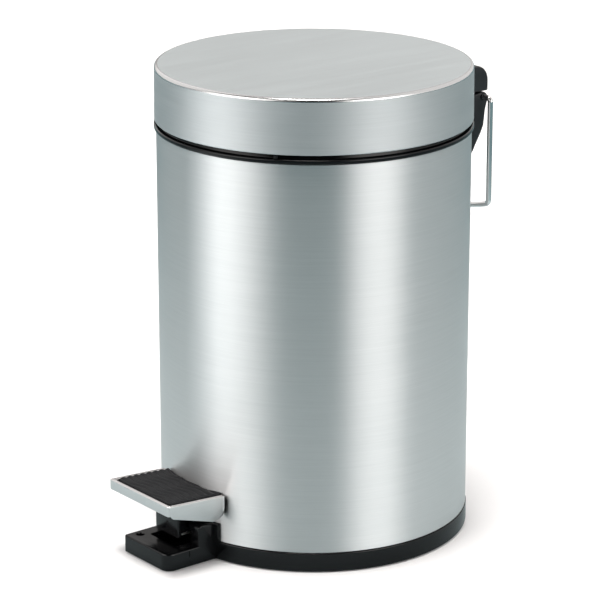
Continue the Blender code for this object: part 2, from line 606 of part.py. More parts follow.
def make_lever():
    """Pressed channel: flat under the pedal's arm, with side walls for the axle and a tongue."""
    web_low = [(-0.0970, 0.0139), (-0.0600, 0.0139), (0.0680, 0.0109)]
    web_top = [(0.0680, 0.0125), (-0.0600, 0.0155), (-0.0970, 0.0155)]
    lever = prism("lever_bar", web_low + web_top, "X", -0.0080, 0.0080)
    belly = [(-0.0600, 0.0145), (-0.0450, 0.0080), (-0.0140, 0.0045), (-0.0020, 0.0045)]
    crown = [(0.0680, 0.0120), (-0.0600, 0.0150)]
    wall = prism("wall", [*belly, (0.0680, 0.0075), *crown], "X", -0.0080, -0.0065)
    tip = arc((ROD_LOW_Y + 0.0003, ROD_LOW_Z), 0.0030, -80, 80, 6)
    tongue = prism("tongue", [*belly, (0.0680, 0.0060), *tip, *crown], "X", 0.0065, 0.0080)
    shape(lever, join=[wall, tongue])
    axle = disc("axle", PIN_R + GAP, "X", (PIVOT_Y, PIVOT_Z), -0.020, 0.020, 16)
    near, far, tall, corner = ROD_LOW_Y - 0.0019, ROD_LOW_Y + 0.0026, 0.0019, 0.0016
    slot = prism("slot", rounded([((near, ROD_LOW_Z - tall), corner),
                                  ((far, ROD_LOW_Z - tall), corner),
                                  ((far, ROD_LOW_Z + tall), corner),
                                  ((near, ROD_LOW_Z + tall), corner)], 3), "X", 0.0, 0.0200)
    pilots = [disc("pilot", 0.0016 + GAP, "Z", (0, y), 0.0100, 0.0300, 12)
              for y in lever_screw_y()]
    finish(shape(lever, cut=[axle, slot, *pilots]), ZINC, "pedal")
    for y, name in zip(lever_screw_y(), ("front", "rear")):
        rivet = screw("lever_screw_" + name, (0, y, 0.0139 - GAP), (0, 0, -1),
                      0.0028, 0.0008, 0.0015, 0.0044)
        finish(rivet, ZINC, "pedal")
    pin = turned("lever_pivot_pin", [(0, 0.0149), (0.0026, 0.0149), (0.0026, 0.0133),
                                     (PIN_R, 0.0133), (PIN_R, -0.0152), (0, -0.0152)], 12)
    finish(turn_to(pin, (0, PIVOT_Y, PIVOT_Z), (1, 0, 0)), ZINC)
    finish(clip("lever_pin_clip", (-0.0140, PIVOT_Y, PIVOT_Z), (1, 0, 0),
                PIN_R + GAP, 0.0031, 0.0008), ZINC)


def make_push_rod():
    """Bent wire from the lever's tongue, up inside the body, out to the lid's crank."""
    hook_y, hook_z = crank_hook()
    path = rounded([((0.0107, ROD_LOW_Y, ROD_LOW_Z), 0), ((ROD_X, ROD_LOW_Y, ROD_LOW_Z), 0.0026),
                    ((ROD_X, ROD_LOW_Y, 0.1840), 0.0100), ((ROD_X, hook_y, 0.2060), 0.0070),
                    ((ROD_X, hook_y, hook_z), 0.0022), ((-0.0070, hook_y, hook_z), 0)],
                   4, closed=False)
    finish(wire("push_rod", path, ROD_R, 8), ZINC, "rod")
    finish(clip("rod_clip_lower", (0.0093, ROD_LOW_Y, ROD_LOW_Z), (1, 0, 0),
                ROD_R + GAP, 0.0028, 0.0008), ZINC, "rod")
    finish(clip("rod_clip_upper", (-0.0056, hook_y, hook_z), (1, 0, 0),
                ROD_R + GAP, 0.0028, 0.0008), ZINC, "rod")


# ------------------------------------------------------------------------------------ bucket
def make_bucket():
    """Tapered plastic bucket with a rolled rim, and its wire bail folded to the front."""
    wall = BUCKET_WALL
    bucket = turned("inner_bucket", [
        (0, BUCKET_BOTTOM + 0.0010), (BUCKET_BOTTOM_R - 0.006, BUCKET_BOTTOM + 0.0010),
        (BUCKET_BOTTOM_R - 0.005, BUCKET_BOTTOM), (BUCKET_BOTTOM_R - 0.001, BUCKET_BOTTOM),
        (BUCKET_BOTTOM_R, BUCKET_BOTTOM + 0.0015), (BUCKET_R, BUCKET_TOP - 0.0080),
        (BUCKET_R, BUCKET_TOP - 0.0025), (BUCKET_RIM_R, BUCKET_TOP - 0.0025),
        (BUCKET_RIM_R, BUCKET_TOP), (BUCKET_R - wall, BUCKET_TOP),
        (BUCKET_R - wall, BUCKET_TOP - 0.0080), (BUCKET_BOTTOM_R - wall, BUCKET_BOTTOM + 0.0035),
        (BUCKET_BOTTOM_R - wall - 0.002, BUCKET_BOTTOM + 0.0025), (0, BUCKET_BOTTOM + 0.0025)],
        48)
    hole = disc("hole", BAIL_WIRE_R + GAP, "X", (0, BAIL_Z), -0.100, 0.100, 12)
    finish(shape(bucket, cut=[hole]), BUCKET_GREY, "bucket")
    reach = BUCKET_R - 0.0040
    bow = [((BAIL_R * math.cos(math.radians(angle)), BAIL_R * math.sin(math.radians(angle)),
             BAIL_Z), 0) for angle in range(-8, -173, -12)]
    path = rounded([((reach, 0, BAIL_Z), 0), ((BAIL_R, 0, BAIL_Z), 0.0020), *bow,
                    ((-BAIL_R, 0, BAIL_Z), 0.0020), ((-reach, 0, BAIL_Z), 0)], 3, closed=False)
    finish(wire("bucket_bail", path, BAIL_WIRE_R, 8), CHROME, "bail")


# ---------------------------------------------------------------------------------- assembly
def main():
    for old in list(bpy.data.objects):
        bpy.data.objects.remove(old)
    add_mount("can", (0, AXIS_Y, 0))
    add_mount("lid", (0, HINGE_Y, HINGE_Z))
    add_mount("handle", (0, HINGE_Y, HANDLE_Z))
    add_mount("pedal", (0, PIVOT_Y, PIVOT_Z))
    add_mount("rod", (ROD_X, ROD_LOW_Y, ROD_LOW_Z))
    add_mount("bucket", (0, 0, BUCKET_BOTTOM))
    add_mount("bail", (0, 0, BAIL_Z))
    make_base()
    make_floor()
    make_feet()
    make_body()
    make_rim()
    make_bracket()
    make_lid()
    make_handle()
    make_pedal()
    make_lever()
    make_push_rod()
    make_bucket()


main()
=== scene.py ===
import math

import bmesh
import bpy
from mathutils import Matrix, Vector


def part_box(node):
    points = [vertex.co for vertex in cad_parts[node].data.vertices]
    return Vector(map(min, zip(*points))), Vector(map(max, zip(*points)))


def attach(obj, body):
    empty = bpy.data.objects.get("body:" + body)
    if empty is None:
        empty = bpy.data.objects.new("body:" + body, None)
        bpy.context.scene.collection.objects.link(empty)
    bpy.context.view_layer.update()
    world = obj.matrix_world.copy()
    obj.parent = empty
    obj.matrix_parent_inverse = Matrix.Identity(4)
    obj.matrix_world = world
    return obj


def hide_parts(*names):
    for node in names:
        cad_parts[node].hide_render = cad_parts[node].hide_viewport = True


# Studio picture of the small pedal bin. Its visible pieces are built here in fine meshes round
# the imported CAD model, and each rides on its CAD body. Everything is in metres, in the row
# frame. Round pieces are drawn about the bin's own axis, and their objects stand on it.

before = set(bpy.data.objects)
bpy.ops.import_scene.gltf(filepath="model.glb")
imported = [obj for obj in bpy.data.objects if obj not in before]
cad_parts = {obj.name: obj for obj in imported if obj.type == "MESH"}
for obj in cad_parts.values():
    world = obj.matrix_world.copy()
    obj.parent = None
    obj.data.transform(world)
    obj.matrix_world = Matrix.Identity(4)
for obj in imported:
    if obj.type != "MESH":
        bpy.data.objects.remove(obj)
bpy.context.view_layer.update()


# ---- sizes, from the CAD boxes
SHELL_LOW, SHELL_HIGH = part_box("body_shell")
LID_LOW, LID_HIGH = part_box("lid_shell")
BASE_LOW, BASE_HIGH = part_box("base_moulding")
RING_LOW, RING_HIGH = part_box("top_rim_ring")
PEDAL_LOW, PEDAL_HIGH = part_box("pedal_cover")
PIN_LOW, PIN_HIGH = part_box("lid_hinge_pin")
BUCKET_LOW, BUCKET_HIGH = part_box("inner_bucket")
BAIL_LOW, BAIL_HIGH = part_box("bucket_bail")

AXIS_Y = (SHELL_LOW.y + SHELL_HIGH.y) / 2  # the round body's axis
SIDES, SMALL_SIDES = 256, 48  # of a round piece, and of a small one
GAP = 0.0003  # between pieces that fit into each other
FRONT_WALL = (-0.1000, -0.0600)  # depths of a cut through the body's front
REAR_WALL = (0.0700, 0.1000)  # and through its rear

SHELL_R = (SHELL_HIGH.x - SHELL_LOW.x) / 2
SHELL_WALL = 0.0006
SHELL_LIP = 0.00015
SHELL_BOTTOM, SHELL_TOP = SHELL_LOW.z, SHELL_HIGH.z
NOTCH_HALF, NOTCH_CORNER = 0.0205, 0.0015  # way of the pedal's housing into the body
NOTCH_LOW, NOTCH_TOP = 0.0050, 0.0211
ROD_SLOT_HALF, ROD_SLOT_Z = 0.0030, (0.1780, 0.2130)

LID_R = (LID_HIGH.x - LID_LOW.x) / 2
LID_BOTTOM, LID_TOP = LID_LOW.z, LID_HIGH.z
LID_WALL = 0.0008
LID_TOP_R = 0.0846
LID_EDGE_R = 0.0019
HEM = 0.0008  # turned in at the lid's lower edge
HEM_LOW, HEM_TOP = LID_BOTTOM + 0.0016, LID_BOTTOM + 0.0022

RING_R = (RING_HIGH.x - RING_LOW.x) / 2
RING_INSIDE_R, RING_BOTTOM = 0.0798, 0.2140
RING_BRIM_LOW = SHELL_TOP + GAP
RING_BRIM_TOP = RING_BRIM_LOW + 0.0024
RING_LIP_LOW_R, RING_LIP_TOP_R = 0.0822, 0.0816

BASE_R = (BASE_HIGH.x - BASE_LOW.x) / 2
BASE_INSIDE_R = 0.0700
BASE_BOTTOM = BASE_LOW.z
BASE_TOP = SHELL_BOTTOM - GAP
COLLAR_R = SHELL_R - SHELL_WALL - GAP  # of the base, inside the body
COLLAR_WALL = 0.0025
COLLAR_LOW = 0.0050
PLATE_LOW, PLATE_TOP = 0.0243, BASE_HIGH.z  # floor plate inside the collar
LEDGE_R, LEDGE_LOW = 0.0790, 0.0226  # that the plate lies on

FOOT_LEFT, FOOT_RIGHT = -0.0197, 0.0192
FOOT_LEFT_CORNER, FOOT_RIGHT_CORNER = 0.0012, 0.0055
FOOT_FRONT = BASE_LOW.y - AXIS_Y
FOOT_REAR = -0.0800
FOOT_TOP = 0.0103
FOOT_EDGE_R = 0.0011
FOOT_WALL = 0.0025
CHEEK_HALF = 0.0192  # housing round the slot
CHEEK_FRONT = -0.0930
CHEEK_TOP = 0.0220
APRON_LOW, APRON_THICK = 0.0216, 0.0018  # trim over the notch's upper edge
SLOT_HALF = 0.0117
SLOT_FRONT = -0.1030
SLOT_FLOOR, SLOT_CEILING = 0.0019, 0.0190
SLOT_WALL = 0.0020
DRAIN_R, DRAIN_X, DRAIN_Y = 0.0022, -0.0143, -0.1072
PAD_R, PAD_TURN = 0.0765, math.radians(55)  # places of the rubber feet
PAD_POCKET_R, PAD_POCKET_TOP = 0.0060, 0.0028
ROD_GATE = ((-0.0020, 0.0125), (0.0720, 0.0806), (0.0200, 0.0300))
EAR_X, EAR_R = (0.0100, 0.0130), 0.0045

PEDAL_HALF = (PEDAL_HIGH.x - PEDAL_LOW.x) / 2
PEDAL_FRONT = PEDAL_LOW.y - AXIS_Y
PEDAL_TOP = PEDAL_HIGH.z
PEDAL_SLOPE = -0.0613
PEDAL_REAR_R = 0.0846  # the rear edge follows the body
COVER_REAR_R = 0.0860  # and the cover's ends a little before it
PEDAL_CORNER = 0.0014
PEDAL_FRAME = 0.0026  # width of the steel round the tread
REAR_STEPS = 32
CHEEK_THICK = 0.0014
ARM_HALF = 0.0100
ARM_LOW, ARM_TOP = 0.0135, 0.0370
LEVER_SCREW_Y = (-0.0890, -0.0780)
LEVER_PILOT_R = 0.0019

HINGE_Y = (PIN_LOW.y + PIN_HIGH.y) / 2 - AXIS_Y
HINGE_Z = (PIN_LOW.z + PIN_HIGH.z) / 2
HINGE_HALF = 0.0220
HINGE_ROOT = 0.0800  # bracket and block start here, and are cut clear of body and lid
KNUCKLE_R = 0.0038
LUG_X, KNUCKLE_X, CRANK_X = (0.0070, 0.0110), (0.0115, 0.0174), (-0.0043, -0.0003)
BOSS_R, HANDLE_HOLE_X = 0.0034, (0.0165, 0.0300)
PIN_R = 0.0015
SCREW_X = (-0.0130, 0.0130)  # of the bracket and of the hinge block
BRACKET_SCREW_Z, LID_SCREW_Z = 0.2000, 0.2370
PILOT_R = 0.0018
BRACKET_LOW, BRACKET_TOP = 0.1780, 0.2284
BLOCK_LOW = 0.2295
BLOCK_KNUCKLE_Y, BLOCK_KNUCKLE_Z = 0.1032, 0.2310  # where block and knuckles meet
CRANK_R = 0.00845
CRANK_BELOW = math.radians(37.5)
HOOK_Y = HINGE_Y - CRANK_R * math.cos(CRANK_BELOW)
HOOK_Z = HINGE_Z - CRANK_R * math.sin(CRANK_BELOW)
PIVOT_Y, PIVOT_Z = -0.0080, 0.0082  # of the pedal's lever
ROD_R, ROD_X = 0.0015, 0.0025
ROD_LOW_Y, ROD_LOW_Z = 0.0766, 0.0090

WIRE_R = 0.0015
HANDLE_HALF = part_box("carry_handle")[1].x - WIRE_R
HANDLE_Z = 0.2265
HANDLE_CORNER_Z = 0.1674
HANDLE_SAG = 0.0050
HANDLE_END_BEND, HANDLE_GRIP_BEND = 0.0020, 0.0030

BUCKET_TOP_R, BUCKET_BOTTOM_R = 0.0730, 0.0640
BUCKET_RIM_R = (BUCKET_HIGH.x - BUCKET_LOW.x) / 2
BUCKET_WALL = 0.0012
BUCKET_TOP, BUCKET_BOTTOM = BUCKET_HIGH.z, BUCKET_LOW.z
BAIL_R, BAIL_WIRE_R, BAIL_BEND = 0.0763, 0.0011, 0.0020
BAIL_Z = (BAIL_LOW.z + BAIL_HIGH.z) / 2


# ---- mesh tools
def solid(name, vertices, faces):
    """A mesh object with its faces turned outwards, standing on the bin's axis."""
    mesh = bpy.data.meshes.new(name)
    mesh.from_pydata([tuple(v) for v in vertices], [], faces)
    work = bmesh.new()
    work.from_mesh(mesh)
    bmesh.ops.remove_doubles(work, verts=work.verts, dist=1e-7)
    bmesh.ops.dissolve_degenerate(work, edges=work.edges, dist=1e-7)
    bmesh.ops.recalc_face_normals(work, faces=work.faces)
    work.to_mesh(mesh)
    work.free()
    made = bpy.data.objects.new(name, mesh)
    made.location.y = AXIS_Y
    bpy.context.scene.collection.objects.link(made)
    return made


def turned(name, profile, sides=SIDES):
    """Turn a closed profile of (radius, height) points about the axis."""
    vertices, rings = [], []
    for radius, height in profile:
        count = sides if radius > 0 else 1
        rings.append([len(vertices) + step for step in range(count)])
        for step in range(count):
            angle = math.tau * step / sides
            vertices.append((radius * math.cos(angle), radius * math.sin(angle), height))
    faces = []
    for here, there in zip(rings, rings[1:] + rings[:1]):
        for step in range(sides):
            after = (step + 1) % sides
            if len(here) > 1 and len(there) > 1:
                faces.append((here[step], here[after], there[after], there[step]))
            elif len(here) > 1:
                faces.append((here[step], here[after], there[0]))
            elif len(there) > 1:
                faces.append((there[step], there[after], here[0]))
    return solid(name, vertices, faces)


def prism(name, outline, axis, low, high):
    """Extrude a closed outline along X (points y, z), Y (points x, z) or Z (points x, y)."""
    def corner(point, along):
        values = list(point)
        values.insert("XYZ".index(axis), along)
        return tuple(values)
    count = len(outline)
    vertices = [corner(p, low) for p in outline] + [corner(p, high) for p in outline]
    faces = [tuple(range(count)), tuple(range(count, 2 * count))]
    for here in range(count):
        there = (here + 1) % count
        faces.append((here, there, count + there, count + here))
    return solid(name, vertices, faces)


def box(name, x, y, z):
    """A box between two places along each of X, Y and Z."""
    return prism(name, [(x[0], y[0]), (x[1], y[0]), (x[1], y[1]), (x[0], y[1])], "Z", *z)


def arc(centre, radius, start, end, steps):
    """Points of a circle between two angles in degrees, both ends included."""
    points = []
    for step in range(steps + 1):
        angle = math.radians(start + (end - start) * step / steps)
        points.append((centre[0] + radius * math.cos(angle),
                       centre[1] + radius * math.sin(angle)))
    return points


def disc(name, radius, axis, centre, low, high):
    """A round bar along an axis."""
    return prism(name, arc(centre, radius, 0, 360, SMALL_SIDES)[:-1], axis, low, high)


def mirrored(span):
    """A span along X on the right of the axis, after its mirror image on the left."""
    return [(-span[1], -span[0]), span]


def quarter(radius):
    """Inset and depth along a rounded edge, from the side up to the face."""
    turns = [math.radians(15 * step) for step in range(7)]
    return [(radius * (1 - math.cos(turn)), radius * (1 - math.sin(turn))) for turn in turns]


def rounded(corners, steps=6, closed=True):
    """Round the corners of a 2-D or 3-D polyline. Each corner is (point, radius)."""
    points = []
    for index, (point, radius) in enumerate(corners):
        here = Vector(point)
        inside = closed or 0 < index < len(corners) - 1
        if radius <= 0 or not inside:
            points.append(tuple(here))
            continue
        before = (Vector(corners[index - 1][0]) - here).normalized()
        after = (Vector(corners[(index + 1) % len(corners)][0]) - here).normalized()
        half = before.angle(after) / 2
        centre = here + (before + after).normalized() * radius / math.sin(half)
        first = here + before * radius / math.tan(half) - centre
        last = here + after * radius / math.tan(half) - centre
        sweep = first.angle(last)
        for step in range(steps + 1):
            part = sweep * step / steps
            spoke = (first * math.sin(sweep - part) + last * math.sin(part)) / math.sin(sweep)
            points.append(tuple(centre + spoke))
    return points


def wire(name, path, radius, sides=24):
    """Sweep a round section along a list of points, with slightly domed ends."""
    dome, dome_swell = radius * 0.3, 0.72
    path = [Vector(point) for point in path]
    first = path[0] + (path[0] - path[1]).normalized() * dome
    last = path[-1] + (path[-1] - path[-2]).normalized() * dome
    rings = [(first, dome_swell), *[(point, 1.0) for point in path], (last, dome_swell)]
    vertices, faces = [], []
    side = None
    for index, (point, swell) in enumerate(rings):
        near = min(max(index, 1), len(rings) - 2)
        along = (rings[near + 1][0] - rings[near - 1][0]).normalized()
        if side is None:
            side = along.orthogonal().normalized()
        side = (side - along * side.dot(along)).normalized()
        other = along.cross(side)
        for step in range(sides):
            angle = math.tau * step / sides
            spoke = side * math.cos(angle) + other * math.sin(angle)
            vertices.append(point + spoke * radius * swell)
    for ring in range(len(rings) - 1):
        for step in range(sides):
            after = (step + 1) % sides
            low, high = ring * sides, (ring + 1) * sides
            faces.append((low + step, low + after, high + after, high + step))
    faces.append(tuple(range(sides)))
    faces.append(tuple(range(len(vertices) - sides, len(vertices))))
    return solid(name, vertices, faces)


def loft(name, loops):
    """Join closed loops of the same number of points, and close both ends."""
    count = len(loops[0])
    vertices = [point for loop in loops for point in loop]
    faces = []
    for level in range(len(loops) - 1):
        low, high = level * count, (level + 1) * count
        for here in range(count):
            there = (here + 1) % count
            faces.append((low + here, low + there, high + there, high + here))
    faces.append(tuple(range(count)))
    faces.append(tuple(range(len(vertices) - count, len(vertices))))
    return solid(name, vertices, faces)


def applied(target):
    """Apply the modifiers of an object to its mesh."""
    bpy.context.view_layer.update()
    graph = bpy.context.evaluated_depsgraph_get()
    mesh = bpy.data.meshes.new_from_object(target.evaluated_get(graph))
    target.modifiers.clear()
    target.data = mesh
    mesh.name = target.name
    return target


def shape(target, join=(), cut=(), keep=()):
    """Join solids to the target, keep what is inside others, and cut others from it."""
    tools = [(tool, "UNION") for tool in join]
    tools += [(tool, "INTERSECT") for tool in keep]
    tools += [(tool, "DIFFERENCE") for tool in cut]
    for tool, operation in tools:
        modifier = target.modifiers.new(operation, "BOOLEAN")
        modifier.operation = operation
        modifier.solver = "EXACT"
        modifier.object = tool
    applied(target)
    for tool, _ in tools:
        bpy.data.objects.remove(tool)


def soften(target, width, segments=3, angle=30):
    """Round the sharp edges of a solid."""
    bevel = target.modifiers.new("edges", "BEVEL")
    bevel.width = width
    bevel.segments = segments
    bevel.limit_method = "ANGLE"
    bevel.angle_limit = math.radians(angle)
    bevel.use_clamp_overlap = True
    return applied(target)


def settle(piece, body, slot, nodes, *looks, sharp=32):
    """Give a piece its looks, let it ride on its CAD body, and hide the CAD nodes it stands for.
    """
    piece.data.materials.clear()
    for look in looks:
        piece.data.materials.append(look)
    piece.data.shade_smooth()
    piece.data.set_sharp_from_angle(angle=math.radians(sharp))
    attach(piece, body)
    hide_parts(*nodes)


# ---- materials
class Nodes:
    """Short calls for the nodes of a material or of the world."""

    def __init__(self, tree):
        self.tree = tree

    def node(self, kind, values=(), **settings):
        """A new node, with what goes into its sockets and its settings."""
        made = self.tree.nodes.new("ShaderNode" + kind)
        for name, value in settings.items():
            setattr(made, name, value)
        for socket, value in dict(values).items():
            self.feed(value, made.inputs[socket])
        return made

    def feed(self, value, socket):
        """Link another node's output to a socket, or set it to a plain value."""
        if isinstance(value, bpy.types.NodeSocket):
            self.tree.links.new(value, socket)
        else:
            socket.default_value = value


class Look(Nodes):
    """A material with a Principled shader, and the patterns that it is made of."""

    def __init__(self, name, colour, roughness, metallic=0.0, **sockets):
        self.material = bpy.data.materials.new(name)
        self.material.use_nodes = True
        super().__init__(self.material.node_tree)
        self.shader = self.tree.nodes["Principled BSDF"]
        self.colour = colour
        self.feed((*colour, 1), self.shader.inputs["Base Color"])
        self.feed(roughness, self.shader.inputs["Roughness"])
        self.feed(metallic, self.shader.inputs["Metallic"])
        for socket, value in sockets.items():
            self.feed(value, self.shader.inputs[socket.replace("_", " ")])

    def math(self, operation, first, second=0.0):
        return self.node("Math", {0: first, 1: second}, operation=operation).outputs[0]

    def place(self):
        """The point in the object's own frame."""
        return self.node("TexCoord").outputs["Object"]

    def scaled(self, vector, factors):
        return self.node("VectorMath", {0: vector, 1: factors}, operation="MULTIPLY").outputs[0]

    def noise(self, vector, scale, detail=2.0, roughness=0.5):
        made = self.node("TexNoise", {"Vector": vector, "Scale": scale, "Detail": detail,
                                      "Roughness": roughness})
        return made.outputs["Fac"]

    def ranged(self, value, low, high, from_low=0.3, from_high=0.7):
        made = self.node("MapRange", {"Value": value, "From Min": from_low,
                                      "From Max": from_high, "To Min": low, "To Max": high})
        return made.outputs["Result"]

    def mixed(self, factor, first, second):
        """A mix of two colours. Sockets 0, 6 and 7 are the factor, A and B for colours."""
        made = self.node("Mix", {0: factor, 6: first, 7: second}, data_type="RGBA")
        return made.outputs[2]

    def bump(self, height, strength, distance):
        made = self.node("Bump", {"Height": height, "Strength": strength,
                                  "Distance": distance})
        self.feed(made.outputs["Normal"], self.shader.inputs["Normal"])

    def shades(self, factor, low, high):
        """Vary the base colour between two multiples of it."""
        first = (*[c * low for c in self.colour], 1)
        second = (*[c * high for c in self.colour], 1)
        self.feed(self.mixed(factor, first, second), self.shader.inputs["Base Color"])


STEEL_COLOUR = (0.612, 0.613, 0.612)
# The lid's top and side are one steel sheet, but their colours carry painted light and shade: the
# top colour is painted lighter and cooler, the side colour painted darker.
LID_TOP_PAINTED_LIGHT_COLOUR = (0.645, 0.690, 0.695)
LID_SIDE_PAINTED_SHADE_COLOUR = (0.565, 0.572, 0.575)
PEDAL_COLOUR = (0.610, 0.595, 0.590)


def brushed_round(name, roughness, anisotropy, colour=STEEL_COLOUR):
    """Steel brushed round the axis: fine level streaks, and highlights drawn out upwards."""
    look = Look(name, colour, roughness, 1.0, Anisotropic=anisotropy,
                Anisotropic_Rotation=0.25)
    tangent = look.node("Tangent", direction_type="RADIAL", axis="Z")
    look.feed(tangent.outputs[0], look.shader.inputs["Tangent"])
    point = look.node("SeparateXYZ", {0: look.place()})
    behind = look.math("MULTIPLY", point.outputs["Y"], -1.0)
    turn = look.math("ARCTAN2", point.outputs["X"], behind)
    streaks = []
    for length, width in ((0.35, 0.00045), (0.9, 0.0016)):
        along = look.math("DIVIDE", turn, length)
        up = look.math("DIVIDE", point.outputs["Z"], width)
        spot = look.node("CombineXYZ", {"X": along, "Y": up, "Z": 0.0})
        streaks.append(look.noise(spot.outputs[0], 1.0, 1.5))
    fine, broad = streaks
    both = look.math("ADD", look.math("MULTIPLY", fine, 0.5), look.math("MULTIPLY", broad, 0.5))
    look.shades(look.ranged(both, 0.0, 1.0), 0.96, 1.04)
    rough = look.ranged(broad, roughness - 0.025, roughness + 0.025)
    haze = look.noise(look.place(), 9.0, 3.0)
    rough = look.math("ADD", rough, look.ranged(haze, -0.012, 0.012))
    look.feed(rough, look.shader.inputs["Roughness"])
    look.bump(both, 0.10, 0.00002)
    return look.material


def satin_flat(name, roughness, colour):
    """Steel with a fine straight grain, as on the lid's flat top and on the pedal."""
    look = Look(name, colour, roughness, 1.0)
    stretched = look.scaled(look.place(), (2500.0, 60.0, 600.0))
    grain = look.noise(stretched, 1.0, 2.0)
    broad = look.noise(look.scaled(look.place(), (400.0, 12.0, 100.0)), 1.0, 2.0)
    both = look.math("ADD", look.math("MULTIPLY", grain, 0.6), look.math("MULTIPLY", broad, 0.4))
    look.shades(look.ranged(both, 0.0, 1.0), 0.97, 1.03)
    haze = look.noise(look.place(), 14.0, 3.0)
    rough = look.math("ADD", look.ranged(broad, roughness - 0.02, roughness + 0.02),
                      look.ranged(haze, -0.015, 0.015))
    look.feed(rough, look.shader.inputs["Roughness"])
    look.bump(both, 0.08, 0.00002)
    return look.material


def moulded(name, colour, roughness, grain_size, grain_depth, **sockets):
    """Moulded plastic or rubber: fine grain, faint flow marks and rubbed patches."""
    look = Look(name, colour, roughness, 0.0, **sockets)
    grain = look.noise(look.place(), 1.0 / grain_size, 2.0, 0.6)
    patches = look.noise(look.place(), 45.0, 4.0)
    flow = look.noise(look.scaled(look.place(), (30.0, 30.0, 240.0)), 1.0, 2.0)
    look.shades(look.ranged(patches, 0.0, 1.0), 0.85, 1.25)
    rough = look.math("ADD", look.ranged(patches, roughness - 0.05, roughness + 0.05),
                      look.ranged(flow, -0.03, 0.03))
    look.feed(rough, look.shader.inputs["Roughness"])
    look.bump(grain, 0.35, grain_depth)
    return look.material


def plated(name, colour, roughness):
    """Bright zinc or chromium on steel, with faint clouding."""
    look = Look(name, colour, roughness, 1.0)
    cloud = look.noise(look.place(), 160.0, 4.0, 0.6)
    look.shades(look.ranged(cloud, 0.0, 1.0), 0.94, 1.05)
    look.feed(look.ranged(cloud, roughness * 0.7, roughness * 1.35),
              look.shader.inputs["Roughness"])
    look.bump(cloud, 0.05, 0.00003)
    return look.material


SHELL_STEEL = brushed_round("shell_brushed_steel", 0.40, 0.85)
# Painted shade in the lid side's colour and painted light in the lid top's colour, on the same
# steel.
LID_SIDE_STEEL_PAINTED_SHADE = brushed_round("lid_side_brushed_steel_painted_shade", 0.46, 0.0, LID_SIDE_PAINTED_SHADE_COLOUR)
LID_TOP_STEEL_PAINTED_LIGHT = satin_flat("lid_top_satin_steel_painted_light", 0.40, LID_TOP_PAINTED_LIGHT_COLOUR)
LID_EDGE_STEEL = satin_flat("lid_edge_polished_steel", 0.24, STEEL_COLOUR)
PEDAL_STEEL = satin_flat("pedal_satin_steel", 0.30, PEDAL_COLOUR)
BLACK = moulded("black_moulding", (0.0020, 0.0021, 0.0025), 0.15, 0.0006, 0.00001,
                Specular_IOR_Level=0.25)
SATIN_BLACK = moulded("satin_black_moulding", (0.008, 0.0085, 0.0100), 0.36, 0.0005, 0.00004,
                      Specular_IOR_Level=0.4)
RUBBER = moulded("black_rubber", (0.0040, 0.0045, 0.0055), 0.60, 0.0004, 0.00005,
                 Specular_IOR_Level=0.20)
BUCKET_GREY = moulded("bucket_plastic", (0.045, 0.047, 0.050), 0.42, 0.0008, 0.00003)
CHROME = plated("chromed_wire", (0.70, 0.70, 0.70), 0.06)
ZINC = plated("zinc_plate", (0.58, 0.575, 0.55), 0.32)


# ---- body, rim and lid
def build_shell():
    """Rolled steel tube: its notch for the pedal, the rod's slot and the screw holes."""
    inside, lip = SHELL_R - SHELL_WALL, SHELL_LIP
    shell = turned("steel_body", [
        (inside, SHELL_BOTTOM + lip), (inside + lip, SHELL_BOTTOM), (SHELL_R - lip, SHELL_BOTTOM),
        (SHELL_R, SHELL_BOTTOM + lip), (SHELL_R, SHELL_TOP - lip), (SHELL_R - lip, SHELL_TOP),
        (inside + lip, SHELL_TOP), (inside, SHELL_TOP - lip)])
    opening = rounded([((-NOTCH_HALF, NOTCH_LOW), 0), ((NOTCH_HALF, NOTCH_LOW), 0),
                       ((NOTCH_HALF, NOTCH_TOP), NOTCH_CORNER),
                       ((-NOTCH_HALF, NOTCH_TOP), NOTCH_CORNER)])
    notch = prism("notch", opening, "Y", *FRONT_WALL)
    rod_slot = box("rod_slot", (ROD_X - ROD_SLOT_HALF, ROD_X + ROD_SLOT_HALF), REAR_WALL,
                   ROD_SLOT_Z)
    holes = [disc("hole", PILOT_R, "Y", (x, BRACKET_SCREW_Z), *REAR_WALL) for x in SCREW_X]
    shape(shell, cut=[notch, rod_slot, *holes])
    settle(shell, "body", "brushed_steel", ["body_shell"], SHELL_STEEL)


def build_ring():
    """Black ring on the body's upper edge, with the lip that stands inside the lid."""
    skirt_r = SHELL_R - SHELL_WALL - GAP
    profile = rounded([
        ((RING_INSIDE_R, RING_BOTTOM), 0.0003), ((skirt_r, RING_BOTTOM), 0.0003),
        ((skirt_r, RING_BRIM_LOW), 0), ((RING_R, RING_BRIM_LOW), 0.0006),
        ((RING_R, RING_BRIM_TOP), 0.0008), ((RING_LIP_LOW_R, RING_BRIM_TOP), 0.0004),
        ((RING_LIP_TOP_R, RING_HIGH.z), 0.0004),
        ((RING_INSIDE_R + 0.0004, RING_HIGH.z), 0.0004)], 4)
    settle(turned("rim_ring", profile), "body", "black_plastic", ["top_rim_ring"], BLACK)


